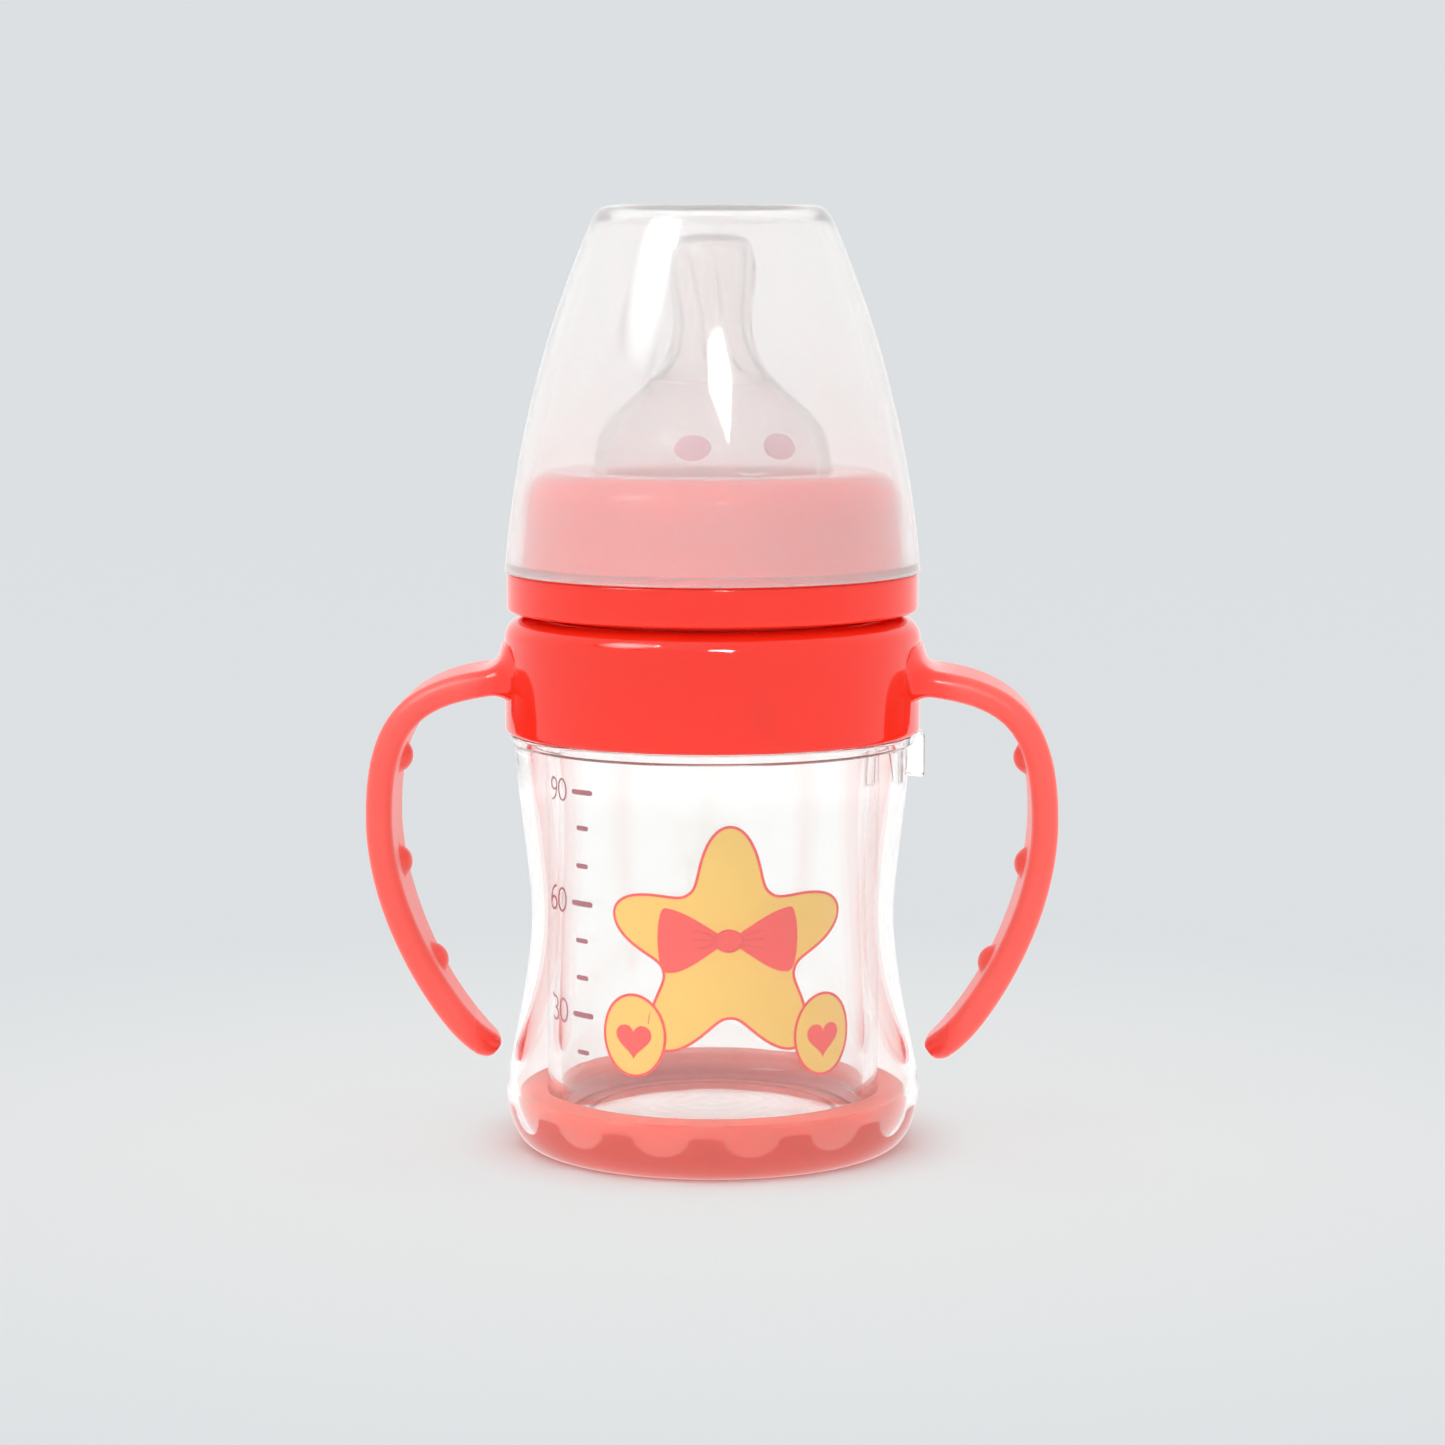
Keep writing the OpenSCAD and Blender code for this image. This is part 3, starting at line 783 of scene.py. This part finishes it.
def make_collar(red):
    """The collar with its two handles, and inside it the hooks and stops of the twist lock."""
    top, bottom = COLLAR_HIGH.z, COLLAR_BOTTOM
    roof = top - 2.2
    cavity_r = RIM_R + 1.3
    outline = supported(rounded([
        (cavity_r, bottom, 0.3), (COLLAR_R, bottom, 1.2), (COLLAR_R, top, 4), (THREAD_BORE_R, top, 0.5),
        (THREAD_BORE_R, roof, 0.3), (cavity_r, roof, 0.6)], 10))
    right = handle()
    bodies = [lathe(outline), right, rotated(right, 180)]
    hook_r, hook_root, stop_root = RIM_R + HOOK_GAP, cavity_r + 0.3, cavity_r + 0.4
    hook = rounded([(hook_r, bottom, 0.2), (hook_root, bottom), (hook_root, HOOK_TOP),
                    (hook_r, HOOK_TOP, 0.2)])
    stop = rounded([(hook_r, STOP_BOTTOM, 0.2), (stop_root, STOP_BOTTOM), (stop_root, STOP_TOP),
                    (hook_r, STOP_TOP, 0.2)])
    for middle in LUG_ANGLES:
        bodies.append(around(hook, middle, HOOK_SPAN, 46))
        bodies += [around(stop, middle, span, 3) for span in STOP_SPANS]
    add_piece("collar_with_handles", union_mesh("collar", bodies), red, "collar",
              ["handle_collar"])


# ---- gasket, glass, shell, base

def make_gasket():
    """Soft seal between the glass's shoulder, the shell's rim and the collar's roof."""
    low, top = GASKET_LOW.z, GASKET_HIGH.z
    step_z = RIM_TOP + 0.05
    bore_r, outer_r, skirt_r = NECK_R + 0.2, RIM_R - 0.2, RIM_INNER_R - 0.2
    seat = arc((NECK_R, SHOULDER_Z), GLASS_R - NECK_R + 0.06, 82, 4, 8)
    outline = rounded([(bore_r, top, 0.3), (outer_r, top, 0.5), (outer_r, step_z, 0.3),
                       (skirt_r, step_z, 0.2), (skirt_r, low, 0.5), (GLASS_R + 0.1, low)])
    outline += seat[::-1] + [(bore_r, SHOULDER_Z + 2.8)]
    add_piece("neck_gasket", clean_mesh("gasket", lathe(outline)), gasket_silicone(),
              "bottle", ["shoulder_gasket"])


def make_glass():
    """The inner bottle: a threaded neck, a domed floor and a hollow under its base."""
    low, lip = GLASS_LOW.z, GLASS_HIGH.z
    inner_r = GLASS_R - 2.1
    mouth_r = NECK_R - 2.2
    floor = low + 2.9
    shoulder = arc((NECK_R, SHOULDER_Z), GLASS_R - NECK_R, 0, 90, 10)
    inner_shoulder = arc((mouth_r, SHOULDER_Z - 1), inner_r - mouth_r, 90, 0, 10)
    punt = bezier((0, low + 0.9), (9, low + 0.9), (14, low + 0.5), (18.4, low + 0.25), 8)
    base = rounded([punt[-1], (19.2, low, 0.3), (22.0, low, 0.5), (GLASS_R, low, GLASS_CORNER_R),
                    (GLASS_R, low + 6)], 8)[1:]
    mouth = rounded([(NECK_R, lip - 2), (NECK_R, lip, 0.8), (mouth_r, lip, 0.8), (mouth_r, lip - 2)], 6)
    well = rounded([(inner_r, floor + 6), (inner_r, floor, 2.4), (17.6, floor + 0.15)], 8)[:-1]
    rise = bezier((20, floor + 0.1), (16, floor + 0.3), (12, floor + 1.0), (0, floor + 1.0), 10)
    outline = punt + base + shoulder + mouth + inner_shoulder + well + rise
    bodies = [lathe(supported(outline)), thread_ridge(NECK_R, THREAD_Z, 1)]
    add_piece("inner_glass", union_mesh("glass", bodies), clear_glass(), "bottle", ["glass_bottle"])


SHELL_WALL = 1.6
SHELL_FLOOR = 1.0
SHELL_FOOT_R = 27.5
SHELL_BELLY = (32.1, 10)  # radius, height
SHELL_WAIST = (28, 36)
SHELL_SHOULDER = (30.45, 62.6)
BEAD_R = 31.2  # small bead that the collar stands over
SLOPE_TOP = 67  # the inner face runs straight up to the rim from here
SLOPE = 0.126  # how fast it widens below that height
TAB_ANGLE = 3
TAB_HALF_W = 3.5


def shell_side(inset, floor, steps=22):
    """The shell's waisted side from its foot up to its shoulder, drawn in and raised to a floor."""
    foot, belly_r = SHELL_FOOT_R - inset, SHELL_BELLY[0] - inset
    waist_r, shoulder_r = SHELL_WAIST[0] - inset, SHELL_SHOULDER[0] - inset
    belly_z, waist_z, shoulder_z = SHELL_BELLY[1], SHELL_WAIST[1], SHELL_SHOULDER[1]
    return (bezier((foot, floor), (foot + 2.8, floor), (belly_r, 4.5), (belly_r, belly_z), steps)
            + bezier((belly_r, belly_z), (belly_r - 1.3, belly_z + 6),
                     (waist_r, waist_z - 8.1), (waist_r, waist_z), steps)[1:]
            + bezier((waist_r, waist_z), (waist_r, waist_z + 6.1),
                     (shoulder_r, shoulder_z - 6.1), (shoulder_r, shoulder_z), steps)[1:])


def guide_tab():
    """Small rounded tab on the right of the shell, below the collar."""
    inside, reach = 29.3, SHELL_HIGH.x
    low, top = 57.3, 64.1
    profile = rounded([(inside, low + 0.4), (reach, low, 0.5), (reach, top, 0.4), (inside, top)], 5)
    left = [(-TAB_HALF_W + step, inset) for step, inset in ((0, 0.4), (0.15, 0.12), (0.4, 0))]
    right = [(-across, inset) for across, inset in left[::-1]]
    rings = [[(max(inside, x - inset), across, min(max(z, low + inset), top - inset)) for x, z in profile]
             for across, inset in left + right]
    return rotated(skin(rings), TAB_ANGLE)


def make_shell():
    """The clear shell: a foot ring, a waisted side, a rim with three lugs, and the guide tab."""
    bead_top = COLLAR_BOTTOM - 0.2
    shoulder_r, shoulder_z = SHELL_SHOULDER
    foot = rounded([(0, 0.3), (21.5, 0.3, 0.3), (22.2, 0, 0.3), (SHELL_FOOT_R, 0)], 4)
    inner = [(-smooth_max(-r, -RIM_INNER_R - SLOPE * (SLOPE_TOP - z), 0.8), z)
             for r, z in shell_side(SHELL_WALL, SHELL_FLOOR)[::-1]]
    upper = rounded([(shoulder_r, shoulder_z), (BEAD_R, shoulder_z + 0.35, 0.35), (BEAD_R, bead_top, 0.35),
                     (RIM_R, bead_top, 0.25), (RIM_R, RIM_TOP, 0.4), (RIM_INNER_R, RIM_TOP, 0.4),
                     (RIM_INNER_R, SLOPE_TOP, 9), inner[0]], 6)[1:-1]
    outline = foot[:-1] + shell_side(0, 0) + upper + inner + [(0, SHELL_FLOOR)]
    root_r, lug_r = RIM_R - 0.3, RIM_R + LUG_REACH
    lug = rounded([(root_r, LUG_BOTTOM), (lug_r, LUG_BOTTOM, 0.25), (lug_r, LUG_TOP, 0.25),
                   (root_r, LUG_TOP)])
    bodies = [lathe(supported(outline)), guide_tab()]
    bodies += [around(lug, middle, LUG_SPAN, 12) for middle in LUG_ANGLES]
    add_piece("clear_outer_shell", union_mesh("shell", bodies), shell_plastic(), "bottle",
              ["outer_shell"])


SCOOPS = 14
SCOOP_HALF_W = 4.5
SCOOP_HALF_H = 4.3
SCOOP_DEPTH = 0.6


def scoop_relief(angle, radius, z):
    """Shallow thumb-shaped scoops round the base ring's outer face."""
    if radius < GLASS_R + 1 or z > BASE_HIGH.z - 0.1:
        return radius, z
    step = TURN / SCOOPS
    aside = ((angle + math.pi / 2) % step - step / 2) * radius
    distance = math.hypot(aside / SCOOP_HALF_W, (z - BASE_HIGH.z + 0.6) / SCOOP_HALF_H)
    if distance >= 1:
        return radius, z
    return radius - SCOOP_DEPTH * (1 - distance ** 2) ** 0.8, z


def contact(z):
    """The soft ring is pressed this far out, tight against the shell, but for its top edge."""
    return 0.09 * min(1, max(0, (BASE_HIGH.z - 1.2 - z) / 0.8))


def make_base():
    """The soft base ring, between the shell's floor and side and the glass."""
    top, low = BASE_HIGH.z, SHELL_FLOOR - 0.02
    corner_z = GLASS_LOW.z + GLASS_CORNER_R
    side = [(r + contact(z), z) for r, z in shell_side(SHELL_WALL + 0.07, low, 40) if z < top - 1.3]
    bore_r, lip_r = GLASS_R + 0.06, GLASS_R - 4
    crown = rounded([side[-1], (side[-1][0] + 0.05, top, 1.1), (bore_r, top, 0.5), (bore_r, corner_z)])
    seat = arc((GLASS_R - GLASS_CORNER_R, corner_z), GLASS_CORNER_R + 0.06, 0, -90, 8)
    outline = [(lip_r, low)] + side + crown[1:-1] + seat + [(lip_r, GLASS_LOW.z - 0.06)]
    add_piece("soft_base_ring", clean_mesh("base", lathe(outline, scoop_relief)), red_silicone(),
              "bottle", ["base_cushion"])


# ---- prints on the glass

PRINT_ANGLE = -83.4  # where the motif's middle lies round the axis
PRINT_MIDDLE_Z = 33.6
INK = 0.05  # thickness of one layer of ink
INK_GAP = 0.03  # gap between the glass and the lowest layer
SCALE_ANGLE = -146  # the inner end of the scale's marks


def fill(outline, layer, across=0.0, up=0.0, angle=PRINT_ANGLE, z=PRINT_MIDDLE_Z):
    """A filled flat shape, wrapped round the glass as a thin closed layer of ink."""
    made = bmesh.new()
    made.faces.new([made.verts.new((x + across, y + up, 0)) for x, y in outline])
    low = min(x for x, _ in outline) + across
    high = max(x for x, _ in outline) + across
    for i in range(1, int(high - low) + 1):
        bmesh.ops.bisect_plane(made, geom=made.verts[:] + made.edges[:] + made.faces[:], dist=1e-5,
                               plane_co=(low + i, 0, 0), plane_no=(1, 0, 0))
    lifted = bmesh.ops.extrude_face_region(made, geom=made.faces[:])
    for vert in lifted["geom"]:
        if isinstance(vert, bmesh.types.BMVert):
            vert.co.z += INK
    return wrapped(made, layer, angle, z)


def wrapped(made, layer, angle, z):
    """Vertices and faces of a flat ink shape bent round the glass."""
    base = GLASS_R + INK_GAP + layer * INK
    made.verts.index_update()
    verts = []
    for vert in made.verts:
        turn = math.radians(angle) + vert.co.x / GLASS_R
        verts.append(on_circle(base + vert.co.z, turn, z + vert.co.y))
    faces = [[vert.index for vert in face.verts] for face in made.faces]
    made.free()
    return verts, faces


def stroke(path, width, layer, closed=False, across=0.0, up=0.0, angle=PRINT_ANGLE, z=PRINT_MIDDLE_Z):
    """A drawn line of ink along a path of flat points."""
    count = len(path)
    made = bmesh.new()
    columns = []
    for i, (x, y) in enumerate(path):
        before = path[i - 1] if closed or i else path[i]
        after = path[(i + 1) % count] if closed or i < count - 1 else path[i]
        along = Vector((after[0] - before[0], after[1] - before[1])).normalized()
        aside = Vector((-along.y, along.x)) * width / 2
        columns.append([made.verts.new((x + across + side * aside.x, y + up + side * aside.y, lift))
                        for side, lift in ((-1, 0), (1, 0), (1, INK), (-1, INK))])
    following = columns[1:] + columns[:1] if closed else columns[1:]
    for here, after in zip(columns, following):
        for i in range(4):
            k = (i + 1) % 4
            made.faces.new((here[i], here[k], after[k], after[i]))
    if not closed:
        made.faces.new(columns[0])
        made.faces.new(columns[-1])
    return wrapped(made, layer, angle, z)


def star(outer, waist):
    """A five-pointed star with very round points and dents."""
    points = []
    for i in range(200):
        angle = TURN * i / 200 + math.pi / 2
        wave = 0.5 + 0.5 * math.cos(5 * (angle - math.pi / 2))
        radius = waist + (outer - waist) * wave ** 1.25
        points.append((radius * math.cos(angle), radius * math.sin(angle)))
    return points


def heart(size):
    """A heart with its point downwards."""
    points = []
    for i in range(60):
        a = TURN * i / 60
        points.append((size * math.sin(a) ** 3,
                       size * (0.81 * math.cos(a) - 0.31 * math.cos(2 * a) - 0.12 * math.cos(3 * a)
                               - 0.06 * math.cos(4 * a))))
    return points


def bow_side(side):
    """One loop of the bow, from the knot outwards."""
    upper = bezier((1.2, 0.9), (3.5, 2.4), (6.5, 4.6), (9.4, 4.9), 10)
    outer = bezier((9.4, 4.9), (10.9, 4.9), (11.0, -4.6), (9.2, -5.0), 10)[1:]
    lower = bezier((9.2, -5.0), (6.8, -5.4), (3.8, -2.6), (1.2, -0.9), 10)[1:]
    return [(side * x, y) for x, y in upper + outer + lower]


STAR_PLACE = (0.4, 0.9)  # across and up from the motif's middle
BOW_PLACE = (0.2, 2.3)
DISCS = ((-14.2, -12.6), (15.4, -12.9))  # the two discs beside the star
OUTLINE_W = 0.42


def make_motif():
    """A round star with a bow, and two hearts in discs."""
    star_outline = star(18.6, 10.4)
    disc = ellipse(5.0, 6.2)
    knot = ellipse(2.0, 1.7)
    yellow = [fill(star_outline, 0, *STAR_PLACE)]
    yellow += [fill(disc, 1.1, *place) for place in DISCS]
    red = [stroke(star_outline, OUTLINE_W, 1.05, True, *STAR_PLACE)]
    red += [stroke(disc, OUTLINE_W, 2.2, True, *place) for place in DISCS]
    red += [fill(heart(2.9), 2.2, x, y - 0.6) for x, y in DISCS]
    red += [fill(bow_side(side), 1.1, *BOW_PLACE) for side in (-1, 1)]
    red.append(fill(knot, 2.2, *BOW_PLACE))
    folds = []
    for side in (-1, 1):
        for rise in (1.5, 0.2, -1.2):
            path = bezier((side * 2.0, rise * 0.35), (side * 3.2, rise * 0.8), (side * 4.2, rise),
                          (side * 5.2, rise), 6)
            folds.append(stroke(path, 0.16, 2.3, False, *BOW_PLACE))
    folds.append(stroke(knot, 0.18, 3.3, True, *BOW_PLACE))
    yellow_ink = print_ink("print_yellow", (1.0, 0.66, 0.125), (0.985, 0.62, 0.105))
    red_ink = print_ink("print_red", (0.93, 0.062, 0.050), (0.90, 0.050, 0.040))
    fold_ink = print_ink("print_fold", (0.75, 0.03, 0.03), (0.7, 0.02, 0.02))
    add_piece("print_yellow_shapes", clean_mesh("yellow", gathered(yellow)), yellow_ink,
              "bottle")
    add_piece("print_red_shapes", clean_mesh("red", gathered(red)), red_ink, "bottle")
    add_piece("print_bow_folds", clean_mesh("folds", gathered(folds)), fold_ink, "bottle")


# The strokes of each digit: path, how far up it is moved, and whether it is closed
LOOP = ellipse(1.1, 0.95, 28)
DIGITS = {
    "0": [(ellipse(1.15, 1.75, 32), 0, True)],
    "3": [([(-0.95, 1.3)] + ellipse(0.95, 0.85, 14, 120, -90), 0.9, False),
          (ellipse(1.1, 0.95, 16, 90, -150), -0.9, False)],
    "6": [(LOOP, -0.85, True), (bezier((-1.1, 0), (-1.2, 1.6), (-0.2, 2.7), (0.9, 2.7), 10), -0.85, False)],
    "9": [(LOOP, 0.85, True), (bezier((1.1, 0), (1.2, -1.6), (0.2, -2.7), (-0.9, -2.7), 10), 0.85, False)],
}
DIGIT_W = 0.34  # width of a digit's strokes
DIGIT_STEP = 2.9  # from one digit to the next
LONG_MARKS = ((57.4, "90"), (40.15, "60"), (22.9, "30"))  # height, digits
MARK_STEP = (LONG_MARKS[0][0] - LONG_MARKS[1][0]) / 3


def scale_mark(i):
    """The mark so many steps above the lowest long one: every third is long, the others short."""
    length, half, start = (4.6, 0.42, 0) if i % 3 == 0 else (2.6, 0.36, 1.0)
    pill = ([(x + length - half, y) for x, y in ellipse(half, half, 10, -90, 90)]
            + [(x + half, y) for x, y in ellipse(half, half, 10, 90, 270)])
    return fill(pill, 0, start, 0, SCALE_ANGLE + 4, LONG_MARKS[-1][0] + i * MARK_STEP)


def make_scale():
    """Volume marks up the left side of the glass, with digits at every third one."""
    lines = [scale_mark(i) for i in range(-1, 7)]
    for z, digits in LONG_MARKS:
        for k, digit in enumerate(digits):
            for i, (path, up, closed) in enumerate(DIGITS[digit]):
                across = -3.9 + DIGIT_STEP * k
                lines.append(stroke(path, DIGIT_W, 0.2 + 0.4 * i, closed, across, up, SCALE_ANGLE, z))
    ink = print_ink("print_scale", (0.42, 0.07, 0.11), (0.36, 0.05, 0.09))
    add_piece("print_volume_scale", clean_mesh("scale", gathered(lines)), ink, "bottle")


# ---- camera, floor and light

CAMERA_PLACE = (19.32, -618.2, 140.2)
CAMERA_TILT = 83.113
CAMERA_TURN = 1.649
CAMERA_LENS = 100.55
BACKDROP = (0.716, 0.745, 0.761)
LIGHT_POOL = (0.815, 0.835, 0.835)  # painted pool of light: the floor's lighter colour round the bottle
SURROUND = 1.08  # how bright the white surroundings are
NEAR = 1.04  # how bright the near floor looks through the clear parts
BEHIND = 1.15  # how bright the far surroundings look through the clear parts
WITHIN = 0.70  # how bright they are for light that reaches things behind clear walls
FLOOR_HALF = 40000
FLOOR_SHADING = 0.38  # the share of the floor's brightness that takes shadows

# Distances from the axis between which the floor changes
FOOT_SHADE = (29.5, 40)  # from all in shadows under the foot to the share above
LIGHT_POOL_FADE = (35, 200)  # from the painted pool of light to the backdrop
FAR_FADE = (350, 1100)  # from near to far, as seen through the clear parts

CARD_DISTANCE = 1400
CARD_AIM_Z = 110  # height of the point that the cards stand round
BOX_AIM_Z = 80  # height of the point that a soft box faces


def make_camera():
    """The camera of the product view."""
    data = bpy.data.cameras.new("camera")
    data.lens = CAMERA_LENS
    data.sensor_width = 36
    camera = bpy.data.objects.new("camera", data)
    camera.location = [value * MM for value in CAMERA_PLACE]
    camera.rotation_euler = (math.radians(CAMERA_TILT), 0, math.radians(CAMERA_TURN))
    bpy.context.scene.collection.objects.link(camera)
    bpy.context.scene.camera = camera


def glow_level(material, far_share=None):
    """Whether a ray is the camera's, and the white surroundings' brightness for it otherwise.

    Light through the clear parts sees them brighter, or dimmer once it has met a matt surface.
    """
    ray = add_node(material, "LightPath", {}).outputs
    scattered = add_node(material, "Math", {0: ray["Diffuse Depth"], 1: 1}, operation="MINIMUM").outputs[0]
    behind = mixed_value(material, far_share, NEAR, BEHIND) if far_share else BEHIND
    through = mixed_value(material, scattered, behind, WITHIN)
    return ray["Is Camera Ray"], mixed_value(material, ray["Is Transmission Ray"], SURROUND, through)


def make_world():
    """Even white light all round; what the camera sees behind the bottle is a plain pale grey."""
    world = bpy.data.worlds.new("studio")
    bpy.context.scene.world = world
    world.use_nodes = True
    camera_ray, level = glow_level(world)
    mixed = mixed_colour(world, camera_ray, level, BACKDROP)
    world.node_tree.links.new(mixed, world.node_tree.nodes["Background"].inputs["Color"])


def scaled(colour, share):
    """The colour at a share of its brightness."""
    return [share * value for value in colour]


def make_floor():
    """A plain pale floor with a painted pool of light round the bottle; it glows white for everything but
    the camera.
    """
    corners = [(x * FLOOR_HALF, y * FLOOR_HALF, 0) for x, y in ((-1, -1), (1, -1), (1, 1), (-1, 1))]
    mesh = clean_mesh("floor", (corners, [[0, 1, 2, 3]]))
    floor = add_object("floor", mesh)
    material = new_material("floor", {"Roughness": 0.9, "Specular IOR Level": 0.0, "Emission Strength": 1.0})
    camera_ray, level = glow_level(material, distance_share(material, *FAR_FADE))
    # painted pool of light: the floor's colour and glow are lighter round the bottle and fade to the
    # backdrop
    light_pool_share = distance_share(material, *LIGHT_POOL_FADE)
    lit, own = FLOOR_SHADING / SURROUND, 1 - FLOOR_SHADING
    shade = mixed_colour(material, light_pool_share, scaled(LIGHT_POOL, lit), scaled(BACKDROP, lit))
    glow = mixed_colour(material, light_pool_share, scaled(LIGHT_POOL, own), scaled(BACKDROP, own))
    away = distance_share(material, *FOOT_SHADE)
    shade = mixed_colour(material, away, scaled(LIGHT_POOL, 1 / SURROUND), shade)
    glow = mixed_colour(material, away, (0, 0, 0), glow)
    into_shader(material, "Base Color", mixed_colour(material, camera_ray, (0, 0, 0), shade))
    into_shader(material, "Emission Color", mixed_colour(material, camera_ray, level, glow))
    mesh.materials.append(material)


def direction(azimuth, elevation):
    """Unit vector from the bottle; azimuth is counted from the front towards +X, both in degrees."""
    a, e = math.radians(azimuth), math.radians(elevation)
    return Vector((math.sin(a) * math.cos(e), -math.cos(a) * math.cos(e), math.sin(e)))


def soft_box(name, azimuth, elevation, distance, size, radiance):
    """A square soft box that faces the bottle and that the camera doesn't see."""
    away = direction(azimuth, elevation)
    data = bpy.data.lights.new(name, "AREA")
    data.shape = "RECTANGLE"
    data.size = data.size_y = size * MM
    data.energy = radiance * math.pi * (size * MM) ** 2
    light = bpy.data.objects.new(name, data)
    light.location = (Vector((0, 0, BOX_AIM_Z)) + away * distance) * MM
    light.rotation_euler = away.to_track_quat("Z", "Y").to_euler()
    light.visible_camera = False
    bpy.context.scene.collection.objects.link(light)


def light_card(name, corners, radiance, soft=None):
    """A glowing card that shows in reflections and through the clear parts, and lights nothing matt.

    Its corners are (azimuth, elevation) from the bottle. A soft card fades out between two distances
    from its middle.
    """
    places = [direction(*corner) * CARD_DISTANCE for corner in corners]
    middle = sum(places, Vector()) / len(places)
    mesh = clean_mesh(name, ([place - middle for place in places], [list(range(len(places)))]))
    card = add_object(name, mesh)
    card.location = (middle + Vector((0, 0, CARD_AIM_Z))) * MM
    material = new_material(name, {"Base Color": (0, 0, 0, 1), "Emission Color": (1, 1, 1, 1),
                                   "Emission Strength": radiance})
    if soft:
        fade = distance_share(material, *soft, (1, 1, 1))
        into_shader(material, "Emission Strength", ranged(material, fade, 0, 1, radiance, 0))
    mesh.materials.append(material)
    card.visible_camera = False
    card.visible_diffuse = False
    card.visible_shadow = False


def make_light():
    """Three cards for the highlights and a weak soft box from the upper left."""
    light_card("window_card", [(-74, 26), (-40, 24), (-36, 53), (-70, 57)], 13, (40, 400))
    light_card("lamp_card", [(-44, 43), (-35, 43), (-35, 51), (-44, 51)], 50)
    light_card("umbrella_card", [(-0.5, 27.5), (-1, 33), (9, 34), (14.5, 28), (12, 20.5)], 34)
    soft_box("fill", -35, 55, 1500, 1200, 0.25)


def set_render():
    """Plain colours, and enough bounces for the nested clear walls."""
    scene = bpy.context.scene
    scene.view_settings.view_transform = "Standard"
    scene.cycles.max_bounces = 24
    scene.cycles.transmission_bounces = 24
    scene.cycles.glossy_bounces = 8
    scene.cycles.diffuse_bounces = 12
    scene.cycles.blur_glossy = 0


red = red_plastic()
make_cap()
make_teat()
make_ring(red)
make_collar(red)
make_gasket()
make_glass()
make_shell()
make_base()
make_motif()
make_scale()
make_camera()
make_world()
make_floor()
make_light()
set_render()
